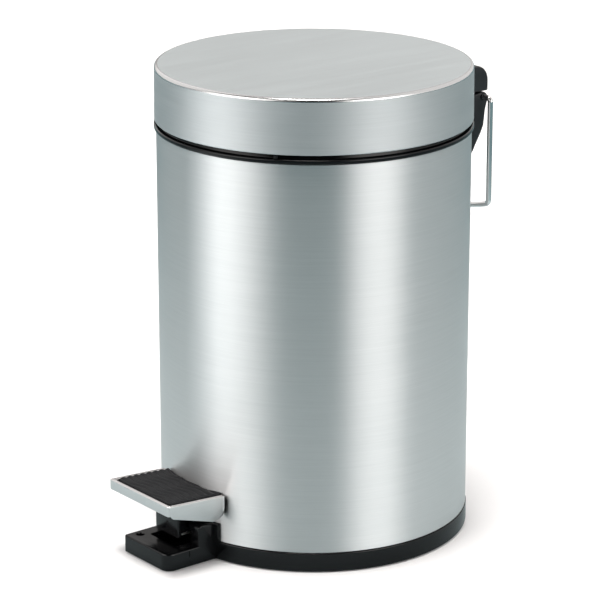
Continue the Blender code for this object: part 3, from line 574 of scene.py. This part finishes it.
def build_lid():
    """Drawn lid: flat top, rounded edge, straight side and a hem turned in below."""
    inside = LID_R - LID_WALL
    edge = arc((LID_TOP_R - LID_EDGE_R, LID_TOP - LID_EDGE_R), LID_EDGE_R, 90, 0, 10)
    flat = [(radius, LID_TOP) for radius in (0, 0.030, 0.060, LID_TOP_R - 0.006)]
    hem = rounded([((LID_R, LID_BOTTOM), 0.0005), ((inside - HEM, LID_BOTTOM), 0.0003),
                   ((inside - HEM, HEM_LOW), 0.0003), ((inside, HEM_TOP), 0)], 4)
    inner = [(LID_TOP_R - LID_WALL, LID_TOP - LID_EDGE_R),
             (LID_TOP_R - LID_EDGE_R, LID_TOP - LID_WALL), (0, LID_TOP - LID_WALL)]
    lid = turned("steel_lid", [*flat, *edge, *hem, *inner])
    settle(lid, "lid", "brushed_steel", ["lid_shell"], LID_TOP_STEEL_PAINTED_LIGHT, LID_SIDE_STEEL_PAINTED_SHADE,
           LID_EDGE_STEEL)
    side_slot, edge_slot = 1, 2
    for face in lid.data.polygons:
        if abs(face.normal.z) < 0.70:
            face.material_index = side_slot
        if face.center.z > LID_TOP - LID_EDGE_R and 0.02 < face.normal.z < 0.999:
            face.material_index = edge_slot


# ---- base moulding
def build_foot():
    """Foot block in front of the body, with its upper edge rounded."""
    def outline(inset):
        left, right, front = FOOT_LEFT + inset, FOOT_RIGHT - inset, FOOT_FRONT + inset
        return rounded([((left, FOOT_REAR), 0), ((left, front), FOOT_LEFT_CORNER - inset * 0.9),
                        ((right, front), FOOT_RIGHT_CORNER - inset), ((right, FOOT_REAR), 0)],
                       10)

    lip = 0.0004
    levels = [(lip, BASE_BOTTOM), (0, BASE_BOTTOM + lip)]
    levels += [(inset, FOOT_TOP - depth) for inset, depth in quarter(FOOT_EDGE_R)]
    loops = [[(x, y, height) for x, y in outline(inset)] for inset, height in levels]
    return loft("foot", loops)


def build_base():
    """Base ring with its foot block and the housing round the pedal's slot."""
    collar_in = COLLAR_R - COLLAR_WALL
    base = turned("base", rounded([
        ((COLLAR_R, PLATE_TOP), 0.0004), ((COLLAR_R, BASE_TOP), 0),
        ((BASE_R, BASE_TOP), 0.0006), ((BASE_R, BASE_BOTTOM), 0.0008),
        ((BASE_INSIDE_R, BASE_BOTTOM), 0.0004), ((BASE_INSIDE_R, COLLAR_LOW), 0.0004),
        ((collar_in, COLLAR_LOW), 0.0004), ((collar_in, LEDGE_LOW - 0.0015), 0),
        ((LEDGE_R, LEDGE_LOW), 0), ((LEDGE_R, PLATE_LOW - GAP), 0),
        ((collar_in, PLATE_LOW - GAP), 0), ((collar_in, PLATE_TOP), 0.0004)], 4))

    side = rounded([((CHEEK_FRONT, BASE_BOTTOM), 0), ((CHEEK_FRONT, CHEEK_TOP), 0.0024),
                    ((FOOT_REAR, CHEEK_TOP - 0.0015), 0), ((FOOT_REAR, BASE_BOTTOM), 0)], 8)
    housing = soften(prism("housing", side, "X", -CHEEK_HALF, CHEEK_HALF), 0.0009, 4, 40)
    apron_r, apron_top = SHELL_R + APRON_THICK, BASE_TOP - 0.0004
    apron = turned("apron", rounded([
        ((SHELL_R + GAP, APRON_LOW), 0.0003), ((SHELL_R + GAP, apron_top), 0),
        ((apron_r, apron_top), 0), ((apron_r, APRON_LOW), 0.0008)], 4))
    shape(apron, keep=[box("trim", (-0.0222, 0.0222), (-0.100, -0.070), (0.0, 0.030))])

    inner = SLOT_HALF + SLOT_WALL
    left, right = FOOT_LEFT + FOOT_WALL, FOOT_RIGHT - FOOT_WALL
    hollow_y = (FOOT_FRONT + FOOT_WALL, -0.0870)
    hollow_z = (-0.001, FOOT_TOP - 0.0022)
    hollows = [box("hollow", (left, -inner), hollow_y, hollow_z),
               box("hollow", (inner, right), hollow_y, hollow_z),
               box("hollow", (left, right), (hollow_y[0], SLOT_FRONT - SLOT_WALL), hollow_z)]
    corner = 0.0015
    slot_plan = rounded([((-SLOT_HALF, -0.0600), 0), ((-SLOT_HALF, SLOT_FRONT), corner),
                         ((SLOT_HALF, SLOT_FRONT), corner), ((SLOT_HALF, -0.0600), 0)])
    slot = prism("slot", slot_plan, "Z", SLOT_FLOOR, SLOT_CEILING)
    flare = DRAIN_R + 0.0003
    drain = turned("drain", [(0, 0.0060), (DRAIN_R, 0.0060), (DRAIN_R, FOOT_TOP - 0.0004),
                             (flare, FOOT_TOP + 0.0001), (flare, 0.0120), (0, 0.0120)],
                   SMALL_SIDES)
    drain.location = (DRAIN_X, AXIS_Y + DRAIN_Y, 0)
    mark = box("mark", (FOOT_RIGHT - 0.0006, FOOT_RIGHT + 0.001), (-0.0994, -0.0988),
               (0.0060, 0.0092))
    pockets = []
    for x in (-1, 1):
        for y in (-1, 1):
            spot = (x * PAD_R * math.cos(PAD_TURN), y * PAD_R * math.sin(PAD_TURN))
            pockets.append(disc("pocket", PAD_POCKET_R + GAP, "Z", spot, -0.001, PAD_POCKET_TOP))
    shape(base, join=[build_foot(), housing, apron])
    shape(base, cut=[*hollows, slot, rod_gate(), drain, mark, *pockets])
    settle(base, "body", "black_plastic", ["base_moulding"], BLACK)


def rod_gate():
    """The way that the push rod takes through the floor plate and its ledge."""
    return box("rod_gate", *ROD_GATE)


def build_floor_plate():
    """Plate that carries the bucket, with two ears below it for the lever's axle."""
    radius = COLLAR_R - COLLAR_WALL - GAP
    top_lip, low_lip = 0.0004, 0.0003
    plate = turned("floor_plate", [(0, PLATE_TOP), (radius - top_lip, PLATE_TOP),
                                   (radius, PLATE_TOP - top_lip), (radius, PLATE_LOW + low_lip),
                                   (radius - low_lip, PLATE_LOW), (0, PLATE_LOW)])
    ear_top = PLATE_LOW + 0.001
    ear = [*arc((PIVOT_Y, PIVOT_Z), EAR_R, 180, 360, 16), (PIVOT_Y + EAR_R, ear_top),
           (PIVOT_Y - EAR_R, ear_top)]
    ears = [prism("ear", ear, "X", *span) for span in mirrored(EAR_X)]
    axle = disc("axle", PIN_R + GAP, "X", (PIVOT_Y, PIVOT_Z), -0.020, 0.020)
    shape(plate, join=ears)
    shape(plate, cut=[rod_gate(), axle])
    settle(plate, "body", "black_plastic", ["base_floor"], BLACK)


# ---- rear hinge
def bracket_outline(wall=0.0):
    """Side view of the bracket as (y, z), drawn in by a wall thickness."""
    lean = wall * 1.2
    return [(HINGE_ROOT, BRACKET_LOW + lean * 2), (0.0846, BRACKET_LOW + lean * 2),
            (0.0955 - lean, 0.1994), (0.0995 - lean, 0.2060), (0.1016 - wall, 0.2105),
            (0.1026 - wall, 0.2190)]


def build_bracket():
    """Hollow bracket behind the body, with cheeks for the handle and lugs for the lid's pin."""
    pin = (HINGE_Y, HINGE_Z)
    side = [*bracket_outline(), *arc(pin, KNUCKLE_R, 0, 90, 10), (0.0965, BRACKET_TOP),
            (HINGE_ROOT, BRACKET_TOP)]
    bracket = prism("bracket", side, "X", -HINGE_HALF, HINGE_HALF)
    wide, above, depth = HINGE_HALF + 0.001, 0.2400, (0.060, 0.120)
    face = rounded([((-wide, above), 0), ((-wide, 0.2000), 0.008), ((-0.0150, 0.1770), 0.006),
                    ((0.0150, 0.1770), 0.006), ((wide, 0.2000), 0.008), ((wide, above), 0)], 8)
    shape(bracket, keep=[prism("face", face, "Y", *depth)])
    soften(bracket, 0.0009, 4, 35)
    wall, inside = 0.0024, 0.0196
    hollow = prism("hollow", [*bracket_outline(wall), (HINGE_ROOT, 0.2190)], "X",
                   -HINGE_HALF + wall, HINGE_HALF - wall)
    hollow_face = [(x * 0.86, z + 0.0030) for x, z in face[1:-1]]
    hollow_face = [(-inside, above), *hollow_face, (inside, above)]
    shape(hollow, keep=[prism("hollow_face", hollow_face, "Y", *depth)])
    bay = box("bay", (-0.0180, 0.0180), (0.0700, 0.1200), (0.2185, 0.2400))
    shape(bracket, cut=[hollow, bay])
    lug = [(0.0968, 0.2060), (0.0998, 0.2060), (0.1020, 0.2190), *arc(pin, KNUCKLE_R, 0, 180, 20)]
    lugs = [prism("lug", lug, "X", *span) for span in mirrored(LUG_X)]
    bosses = [disc("boss", BOSS_R, "Y", (x, BRACKET_SCREW_Z), HINGE_ROOT, 0.0945)
              for x in SCREW_X]
    shape(bracket, join=[*lugs, *bosses])
    hole = disc("pin_hole", PIN_R + GAP, "X", pin, -0.0150, 0.0150)
    ends = [disc("end_hole", WIRE_R + GAP, "X", (HINGE_Y, HANDLE_Z), *span)
            for span in mirrored(HANDLE_HOLE_X)]
    pilots = [disc("pilot", PILOT_R, "Y", (x, BRACKET_SCREW_Z), 0.0700, 0.0926)
              for x in SCREW_X]
    body = turned("body_clear", [(0, 0.100), (SHELL_R + GAP, 0.100), (SHELL_R + GAP, 0.2219),
                                 (RING_R + GAP, 0.2219), (RING_R + GAP, 0.300), (0, 0.300)])
    shape(bracket, cut=[hole, *ends, *pilots, body])
    settle(bracket, "body", "satin_black_plastic", ["hinge_bracket"], SATIN_BLACK)


def build_hinge_block():
    """Block on the lid's skirt, with two knuckles and the crank that the rod lifts."""
    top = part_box("lid_hinge_block")[1]
    face_y, corner = top.y - AXIS_Y, 0.0085
    side = [(HINGE_ROOT, BLOCK_LOW), (face_y, BLOCK_LOW),
            *arc((face_y - corner, top.z - corner), corner, 0, 90, 16), (HINGE_ROOT, top.z)]
    block = soften(prism("lid_block", side, "X", -HINGE_HALF, HINGE_HALF), 0.0009, 4, 40)
    pin = (HINGE_Y, HINGE_Z)
    joint = (BLOCK_KNUCKLE_Y, BLOCK_KNUCKLE_Z)
    knuckle = [joint, (HINGE_Y - KNUCKLE_R, BLOCK_KNUCKLE_Z), *arc(pin, KNUCKLE_R, 180, 360, 20)]
    knuckles = [prism("knuckle", knuckle, "X", *span) for span in mirrored(KNUCKLE_X)]
    hook = Vector((HOOK_Y, HOOK_Z))
    crank = prism("crank", [(0.0895, BLOCK_KNUCKLE_Z), *arc(hook, 0.0040, 170, 320, 16),
                            *arc(pin, KNUCKLE_R, -40, 0, 6), joint], "X", *CRANK_X)
    shape(block, join=[*knuckles, crank])
    play = 0.0021
    toward = (hook - Vector(pin)).normalized()
    across = Vector((-toward.y, toward.x)) * play
    near = Vector(pin) + toward * (CRANK_R * math.cos(CRANK_BELOW) - play)
    far = Vector(pin) + toward * (CRANK_R + play)
    slot = prism("slot", [near + across, far + across, far - across, near - across],
                 "X", -0.010, 0.005)
    hole = disc("pin_hole", PIN_R + GAP, "X", pin, -0.030, 0.030)
    pilots = [disc("pilot", PILOT_R, "Y", (x, LID_SCREW_Z), 0.0700, 0.0960) for x in SCREW_X]
    skirt = turned("skirt_clear", [(0, 0.200), (LID_R + GAP, 0.200), (LID_R + GAP, LID_BOTTOM),
                                   (LID_TOP_R + GAP, LID_TOP), (LID_TOP_R + GAP, 0.300),
                                   (0, 0.300)])
    shape(block, cut=[slot, hole, *pilots, skirt])
    settle(block, "lid", "satin_black_plastic", ["lid_hinge_block"], SATIN_BLACK)


def build_handle():
    """Chromed wire bail: straight arms, a bowed grip and ends turned into the cheeks."""
    end, half, low = HINGE_HALF - 0.0035, HANDLE_HALF, HANDLE_CORNER_Z
    count = 24
    grip = []
    for step in range(2, count - 1):
        x = half - 2 * half * step / count
        grip.append(((x, HINGE_Y, low - HANDLE_SAG * (1 - (x / half) ** 2)), 0))
    corners = [((end, HINGE_Y, HANDLE_Z), 0), ((half, HINGE_Y, HANDLE_Z), HANDLE_END_BEND),
               ((half, HINGE_Y, low), HANDLE_GRIP_BEND), *grip,
               ((-half, HINGE_Y, low), HANDLE_GRIP_BEND),
               ((-half, HINGE_Y, HANDLE_Z), HANDLE_END_BEND), ((-end, HINGE_Y, HANDLE_Z), 0)]
    handle = wire("chromed_handle", rounded(corners, 10, closed=False), WIRE_R)
    settle(handle, "carry_handle", "chromed_steel", ["carry_handle"], CHROME)


# ---- pedal
def plate_top(y):
    """Height of the pedal plate's upper face."""
    return PEDAL_TOP + PEDAL_SLOPE * (y - PEDAL_FRONT)


def skirt_low(y):
    """Height of the lower edge of the cover: a short front, sides that deepen to the rear."""
    front_edge, front_low, side_front_low = -0.1158, 0.0353, 0.0338
    rear_edge, rear_low, radius = -0.0817, 0.0236, 0.0065
    slope = (rear_low - side_front_low) / (rear_edge - front_edge)
    lean = math.hypot(1, slope)
    side = side_front_low + slope * (y - front_edge)
    centre_y = rear_edge - radius
    centre_z = side_front_low + slope * (centre_y - front_edge) + radius * lean
    if y > centre_y + radius * slope / lean:
        reach = min(y - centre_y, radius * 0.999)
        side = centre_z - math.sqrt(radius ** 2 - reach ** 2)
    step = min(max((front_edge + 0.0004 - y) / 0.0009, 0.0), 1.0)
    step = step * step * (3 - 2 * step)
    return side + (front_low - side) * step


def pedal_outline(inset, rear_r):
    """The pedal's plan: right side, front and left side, then the rear arc. Each has a fixed
    number of points, and the rear corners come twice, as the end of a side and of the rear."""
    half, front = PEDAL_HALF - inset, PEDAL_FRONT + inset
    radius = max(PEDAL_CORNER - inset, 0.0008)
    rear_y = -math.sqrt(rear_r ** 2 - half ** 2)
    steps = 60
    right = []
    for k in range(steps):
        part = (k / steps) ** 2 * (1.6 - 0.6 * k / steps)       # closer together at the rear
        right.append((half, rear_y + (front + radius - rear_y) * part))
    corner = arc((half - radius, front + radius), radius, 360, 270, 10)
    across = [((half - radius) * (1 - k / 8), front) for k in range(1, 8)]
    near = right + corner + across
    sides = near + [(0.0, front)] + [(-x, y) for x, y in reversed(near)]
    spread = math.degrees(math.asin(half / rear_r))
    rear = arc((0, 0), rear_r, 270 - spread, 270 + spread, REAR_STEPS)
    return sides, rear


def build_pedal_cover():
    """Formed steel cover: a rolled frame round the tread, open behind, with turned-down sides."""
    edge_r, sheet, frame_width = 0.0005, 0.0008, PEDAL_FRAME
    # The sheet's section, as (inset from the outline, depth below the plate) on the frame, or
    # (inset, None, height above the lower edge) on the sides.
    section = [(0.0001, None, 0.0), (0, None, 0.0002), *quarter(edge_r)]
    section += [(0.0006, 0.00003), (0.0008, 0.00042), (0.0010, 0.00050), (0.0012, 0.00035),
                (0.0014, 0.00003), (0.0017, 0.0), (0.0020, 0.00005), (0.0023, 0.00030),
                (frame_width - 0.0001, 0.00060), (frame_width, 0.00090), (frame_width, 0.0013),
                (frame_width - 0.0006, 0.0013), (0.0016, 0.0011), (sheet + 0.0003, 0.0013),
                (sheet, 0.0018), (sheet, None, 0.0002), (sheet - 0.0001, None, 0.0)]
    vertices = []
    for inset, drop, *low in section:
        line, _ = pedal_outline(inset, COVER_REAR_R)
        for x, y in line:
            height = skirt_low(y) + low[0] if drop is None else plate_top(y) - drop
            vertices.append((x, y, height))
    levels = len(section)
    count = len(vertices) // levels
    faces = []
    for level in range(levels):
        here, after = level * count, (level + 1) % levels * count
        for k in range(count - 1):
            faces.append((here + k, here + k + 1, after + k + 1, after + k))
    faces.append(tuple(level * count for level in range(levels)))
    faces.append(tuple(level * count + count - 1 for level in range(levels)))
    cover = solid("pedal_plate", vertices, faces)
    settle(cover, "pedal", "brushed_steel", ["pedal_cover"], PEDAL_STEEL, sharp=40)


def build_tread():
    """Rubber tread with fine wavy ribs that run across the pedal."""
    inset = PEDAL_FRAME + GAP
    half, front = PEDAL_HALF - inset, PEDAL_FRONT + inset
    corner = 0.0022
    columns, rows = 168, 132
    pitch, wave, wave_length, slant = 0.0042, 0.0008, 0.0175, -0.12
    crest, valley, roll, thick = 0.0008, 0.0001, 0.0008, 0.0010

    def ends(x):
        over = max(abs(x) - (half - corner), 0.0)
        near = front + corner - math.sqrt(max(corner ** 2 - over ** 2, 0.0))
        return near, -math.sqrt(PEDAL_REAR_R ** 2 - x ** 2)

    def closer_at_ends(part):
        return 0.5 * part + 0.25 * (1 - math.cos(math.pi * part))

    vertices = []
    for column in range(columns + 1):
        x = -half + 2 * half * closer_at_ends(column / columns)
        near, far = ends(x * 0.9999)
        for row in range(rows + 1):
            y = near + (far - near) * closer_at_ends(row / rows)
            phase = (y + slant * x + wave * math.sin(math.tau * x / wave_length)) / pitch
            rib = (0.5 + 0.5 * math.cos(math.tau * phase)) ** 0.5
            to_edge = min(half - abs(x), y - near, (far - y) * 2)
            short = 1 - min(max(to_edge / roll, 0.0), 1.0)
            height = valley + (crest - valley) * rib - roll * (1 - math.sqrt(1 - short ** 2))
            vertices.append((x, y, plate_top(y) + height))
    top_count = len(vertices)
    line = rows + 1
    faces = []
    for column in range(columns):
        for row in range(rows):
            here = column * line + row
            faces.append((here, here + line, here + line + 1, here + 1))
    border = [column * line for column in range(columns + 1)]
    border += [columns * line + row for row in range(1, rows + 1)]
    border += [column * line + rows for column in range(columns - 1, -1, -1)]
    border += [row for row in range(rows - 1, 0, -1)]
    for index in border:
        x, y, _ = vertices[index]
        vertices.append((x, y, plate_top(y) - thick))
    count = len(border)
    for here in range(count):
        there = (here + 1) % count
        faces.append((border[here], border[there], top_count + there, top_count + here))
    faces.append(tuple(top_count + k for k in range(count)))
    tread = solid("pedal_grip", vertices, faces)
    settle(tread, "pedal", "black_rubber", ["pedal_tread"], RUBBER, sharp=60)


def build_carrier():
    """Black moulded plate under the cover, its cheeks, and the arm that goes into the base."""
    rear_r = PEDAL_REAR_R - 0.0002
    inset, lip = 0.0008 + GAP, 0.0003
    drop, low = 0.0013, 0.0039                     # of the plate's two faces below the cover's

    def at(edge, fall):
        sides, rear = pedal_outline(inset + edge, rear_r + edge)
        return [(x, y, plate_top(y) - fall) for x, y in sides + rear[1:-1]]

    plate = loft("pedal_arm", [at(lip, low), at(0, low - lip), at(0, drop + lip), at(lip, drop)])
    outline = rounded([((-0.1000, ARM_LOW), 0.0005), ((-0.0974, ARM_LOW), 0.0005),
                       ((-0.0974, 0.0158), 0), ((-0.0730, 0.0158), 0), ((-0.0730, 0.0186), 0),
                       ((-0.0946, 0.0186), 0.0020), ((-0.0946, 0.0320), 0.0030),
                       ((-0.0900, ARM_TOP), 0), ((-0.1000, ARM_TOP), 0)], 6)
    arm = soften(prism("arm", outline, "X", -ARM_HALF, ARM_HALF), 0.0006, 3, 50)
    shape(plate, join=[arm])
    cheek_x = PEDAL_HALF - inset - 0.0001
    front_y, rear_y, top_y = -0.1120, -0.0803, -0.0830
    side = rounded([((front_y, plate_top(front_y) - 0.0030), 0), ((front_y, 0.0340), 0),
                    ((rear_y, 0.0244), 0.0050), ((rear_y, plate_top(rear_y) - 0.0016), 0.0006),
                    ((top_y, plate_top(top_y) - 0.0016), 0)], 8)
    cheeks = [prism("cheek", side, "X", *span)
              for span in mirrored((cheek_x - CHEEK_THICK, cheek_x))]
    shape(plate, join=cheeks)
    pilots = [disc("pilot", LEVER_PILOT_R, "Z", (0, y), 0.0100, 0.0300) for y in LEVER_SCREW_Y]
    shape(plate, cut=pilots)
    settle(plate, "pedal", "black_plastic", ["pedal_carrier"], BLACK)


# ---- inside
def build_bucket():
    """Tapered bucket with a rolled rim, and its wire bail folded to the front."""
    low, top, under, over = BUCKET_BOTTOM, BUCKET_TOP, BUCKET_BOTTOM_R, BUCKET_TOP_R
    wall, taper_end = BUCKET_WALL, BUCKET_TOP - 0.0080
    profile = rounded([
        ((under - 0.006, low + 0.0010), 0), ((under - 0.005, low), 0.0004),
        ((under, low), 0.0016), ((over, taper_end), 0.003), ((over, top - 0.0025), 0.0006),
        ((BUCKET_RIM_R, top - 0.0030), 0.0008), ((BUCKET_RIM_R, top), 0.0011),
        ((over - wall, top), 0.0006), ((over - wall, taper_end), 0.003),
        ((under - wall, low + 0.0025), 0.0020)], 5)
    bucket = turned("bucket", [(0, low + 0.0010), *profile, (0, low + 0.0025)])
    shape(bucket, cut=[disc("hole", BAIL_WIRE_R + GAP, "X", (0, BAIL_Z), -0.100, 0.100)])
    settle(bucket, "bucket", "bucket_plastic", ["inner_bucket"], BUCKET_GREY)

    reach = over - 0.0040
    bow = [((x, y, BAIL_Z), 0) for x, y in arc((0, 0), BAIL_R, -6, -174, 56)]
    path = rounded([((reach, 0, BAIL_Z), 0), ((BAIL_R, 0, BAIL_Z), BAIL_BEND), *bow,
                    ((-BAIL_R, 0, BAIL_Z), BAIL_BEND), ((-reach, 0, BAIL_Z), 0)],
                   6, closed=False)
    settle(wire("bail", path, BAIL_WIRE_R, 16), "bucket_bail", "chromed_steel", ["bucket_bail"],
           CHROME)


def build_push_rod():
    """Bent wire from the lever's hook, up inside the body, out to the lid's crank."""
    path = rounded([((0.0107, ROD_LOW_Y, ROD_LOW_Z), 0), ((ROD_X, ROD_LOW_Y, ROD_LOW_Z), 0.0026),
                    ((ROD_X, ROD_LOW_Y, 0.1840), 0.0100), ((ROD_X, HOOK_Y, 0.2060), 0.0070),
                    ((ROD_X, HOOK_Y, HOOK_Z), 0.0022), ((-0.0070, HOOK_Y, HOOK_Z), 0)],
                   8, closed=False)
    settle(wire("lift_rod", path, ROD_R, 16), "push_rod", "zinc_steel", ["push_rod"], ZINC)


def build_pads():
    """Rubber feet, with the edge that meets the floor rounded."""
    for place in ("front_left", "front_right", "rear_left", "rear_right"):
        node = "rubber_foot_" + place
        low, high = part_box(node)
        radius = (high.x - low.x) / 2
        profile = [(0, 0), (radius - 0.0006, 0), (radius - 0.0002, 0.0002), (radius, 0.0006),
                   (radius, high.z), (0, high.z)]
        pad = turned("pad_" + place, profile, SMALL_SIDES)
        centre = (low + high) / 2
        pad.location = (centre.x, centre.y, 0)
        settle(pad, "body", "black_rubber", [node], RUBBER)


def dress_cad_nodes():
    """Materials for the small CAD pieces that stay as they are."""
    for name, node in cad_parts.items():
        if not node.hide_render:
            for slot in node.material_slots:
                slot.material = RUBBER if "bumper" in name else ZINC


# ---- the studio
VIEW_AZIMUTH = math.radians(51.6)
VIEW_ELEVATION = math.radians(17.54)
VIEW_AWAY, VIEW_ASIDE, VIEW_HEIGHT = 1.564, 0.0074, 0.1243
SENSOR_MM, LENS_MM = 36.0, 173.15


def build_camera():
    """The photograph's view: long lens, from the right of the pedal and a little above."""
    back = Vector((math.sin(VIEW_AZIMUTH) * math.cos(VIEW_ELEVATION),
                   -math.cos(VIEW_AZIMUTH) * math.cos(VIEW_ELEVATION),
                   math.sin(VIEW_ELEVATION)))
    right = Vector((math.cos(VIEW_AZIMUTH), math.sin(VIEW_AZIMUTH), 0))
    up = back.cross(right)
    data = bpy.data.cameras.new("camera")
    data.sensor_width = SENSOR_MM
    data.lens = LENS_MM
    data.clip_end = 50.0
    camera = bpy.data.objects.new("camera", data)
    camera.matrix_world = Matrix((right, up, back)).transposed().to_4x4()
    target = Vector((0, AXIS_Y, VIEW_HEIGHT))
    camera.location = target + back * VIEW_AWAY - right * VIEW_ASIDE
    bpy.context.scene.collection.objects.link(camera)
    bpy.context.scene.camera = camera


# The floor, and how gloss on the object shows it: its tone near and far, and between which
# distances from the object it changes.
FLOOR_HALF = 12.0
FLOOR_PAINT = (0.86, 0.86, 0.86)
FLOOR_NEAR = (0.445, 0.525, 0.54)
FLOOR_FAR = (0.130, 0.200, 0.215)
TABLE_EDGE = (0.20, 0.90)

ROOM_LIGHT = 0.01
LIGHT_COLOUR = (1.01, 0.985, 0.97, 1)
WALL_COLOUR = (1, 1, 1, 1)

# Azimuth from the camera's, to its right; elevation; the angles at which the light's soft edge
# begins and ends; brightness.
SOFT_LIGHTS = (
    (-58, 24, 0, 33, 3.8),      # wide light on the left
    (46, 14, 0, 29, 4.3),       # wide light on the right
    (-133, 27, 29, 40, 1.1),    # light behind on the left
    (116, 16, 29, 90, 1.0),     # weak light behind on the right
    (-50, 87, 3, 12, 32.0),     # small lamp overhead, mostly for the floor
)

# Low cards close by on the left, for the lid's side: azimuth as above, brightness.
CARDS = ((-68, 0.50), (-78, 0.45), (-58, 0.30))
CARD_WIDE, CARD_HIGH = 0.22, 0.30
CARD_AWAY, CARD_CENTRE = 0.42, 0.15


def build_floor():
    """Plain pale floor, level with the rubber feet. Gloss on the object shows it greyer, as on
    a small table with a darker room round it."""
    half = FLOOR_HALF
    mesh = bpy.data.meshes.new("floor")
    mesh.from_pydata([(-half, -half, 0), (half, -half, 0), (half, half, 0), (-half, half, 0)],
                     [], [(0, 1, 2, 3)])
    floor = bpy.data.objects.new("floor", mesh)
    bpy.context.scene.collection.objects.link(floor)
    look = Look("floor_paint", FLOOR_PAINT, 0.65, 0.0)
    haze = look.noise(look.place(), 3.0, 3.0)
    look.shades(look.ranged(haze, 0.0, 1.0), 0.995, 1.005)
    ray = look.node("LightPath").outputs["Is Glossy Ray"]
    away = look.node("VectorMath", {0: look.place()}, operation="LENGTH").outputs["Value"]
    near, far = TABLE_EDGE
    fall = look.node("MapRange", {"Value": away, "From Min": near, "From Max": far},
                     interpolation_type="SMOOTHSTEP").outputs["Result"]
    tone = look.mixed(fall, (*FLOOR_NEAR, 1), (*FLOOR_FAR, 1))
    grey = look.node("BsdfDiffuse", {"Color": tone}).outputs[0]
    either = look.node("MixShader", {0: ray, 1: look.shader.outputs[0], 2: grey})
    look.feed(either.outputs[0], look.tree.nodes["Material Output"].inputs["Surface"])
    mesh.materials.append(look.material)


def build_lights():
    """Soft lights round a dark room. The camera itself sees plain white walls."""
    world = bpy.data.worlds.new("studio")
    bpy.context.scene.world = world
    world.use_nodes = True
    sky = Nodes(world.node_tree)
    way = sky.node("TexCoord").outputs["Generated"]
    total = ROOM_LIGHT
    for azimuth, elevation, core, rim, strength in SOFT_LIGHTS:
        turn, lift = VIEW_AZIMUTH + math.radians(azimuth), math.radians(elevation)
        toward = (math.sin(turn) * math.cos(lift), -math.cos(turn) * math.cos(lift),
                  math.sin(lift))
        aim = sky.node("VectorMath", {0: way, 1: toward}, operation="DOT_PRODUCT")
        edge = sky.node("MapRange", {"Value": aim.outputs["Value"],
                                     "From Min": math.cos(math.radians(rim)),
                                     "From Max": math.cos(math.radians(core)),
                                     "To Max": strength}, interpolation_type="SMOOTHSTEP")
        total = sky.node("Math", {0: edge.outputs["Result"], 1: total}).outputs[0]
    lit = sky.tree.nodes["Background"]
    sky.feed(LIGHT_COLOUR, lit.inputs["Color"])
    sky.feed(total, lit.inputs["Strength"])
    walls = sky.node("Background", {"Color": WALL_COLOUR})
    ray = sky.node("LightPath").outputs["Is Camera Ray"]
    either = sky.node("MixShader", {0: ray, 1: lit.outputs[0], 2: walls.outputs[0]})
    sky.feed(either.outputs[0], sky.tree.nodes["World Output"].inputs["Surface"])


def build_cards():
    """Small soft lights close by on the left."""
    for azimuth, strength in CARDS:
        turn = VIEW_AZIMUTH + math.radians(azimuth)
        way = Vector((math.sin(turn), -math.cos(turn), 0))
        data = bpy.data.lights.new("card", "AREA")
        data.shape = "RECTANGLE"
        data.size, data.size_y = CARD_WIDE, CARD_HIGH
        data.energy = strength * math.pi * CARD_WIDE * CARD_HIGH
        card = bpy.data.objects.new("card", data)
        card.rotation_euler = way.to_track_quat("Z", "Y").to_euler()
        card.location = Vector((0, AXIS_Y, CARD_CENTRE)) + way * CARD_AWAY
        card.visible_camera = False
        bpy.context.scene.collection.objects.link(card)


build_shell()
build_ring()
build_lid()
build_base()
build_floor_plate()
build_bracket()
build_hinge_block()
build_handle()
build_pedal_cover()
build_tread()
build_carrier()
build_bucket()
build_push_rod()
build_pads()
dress_cad_nodes()
build_floor()
build_camera()
build_lights()
build_cards()
bpy.context.scene.view_settings.view_transform = "Standard"
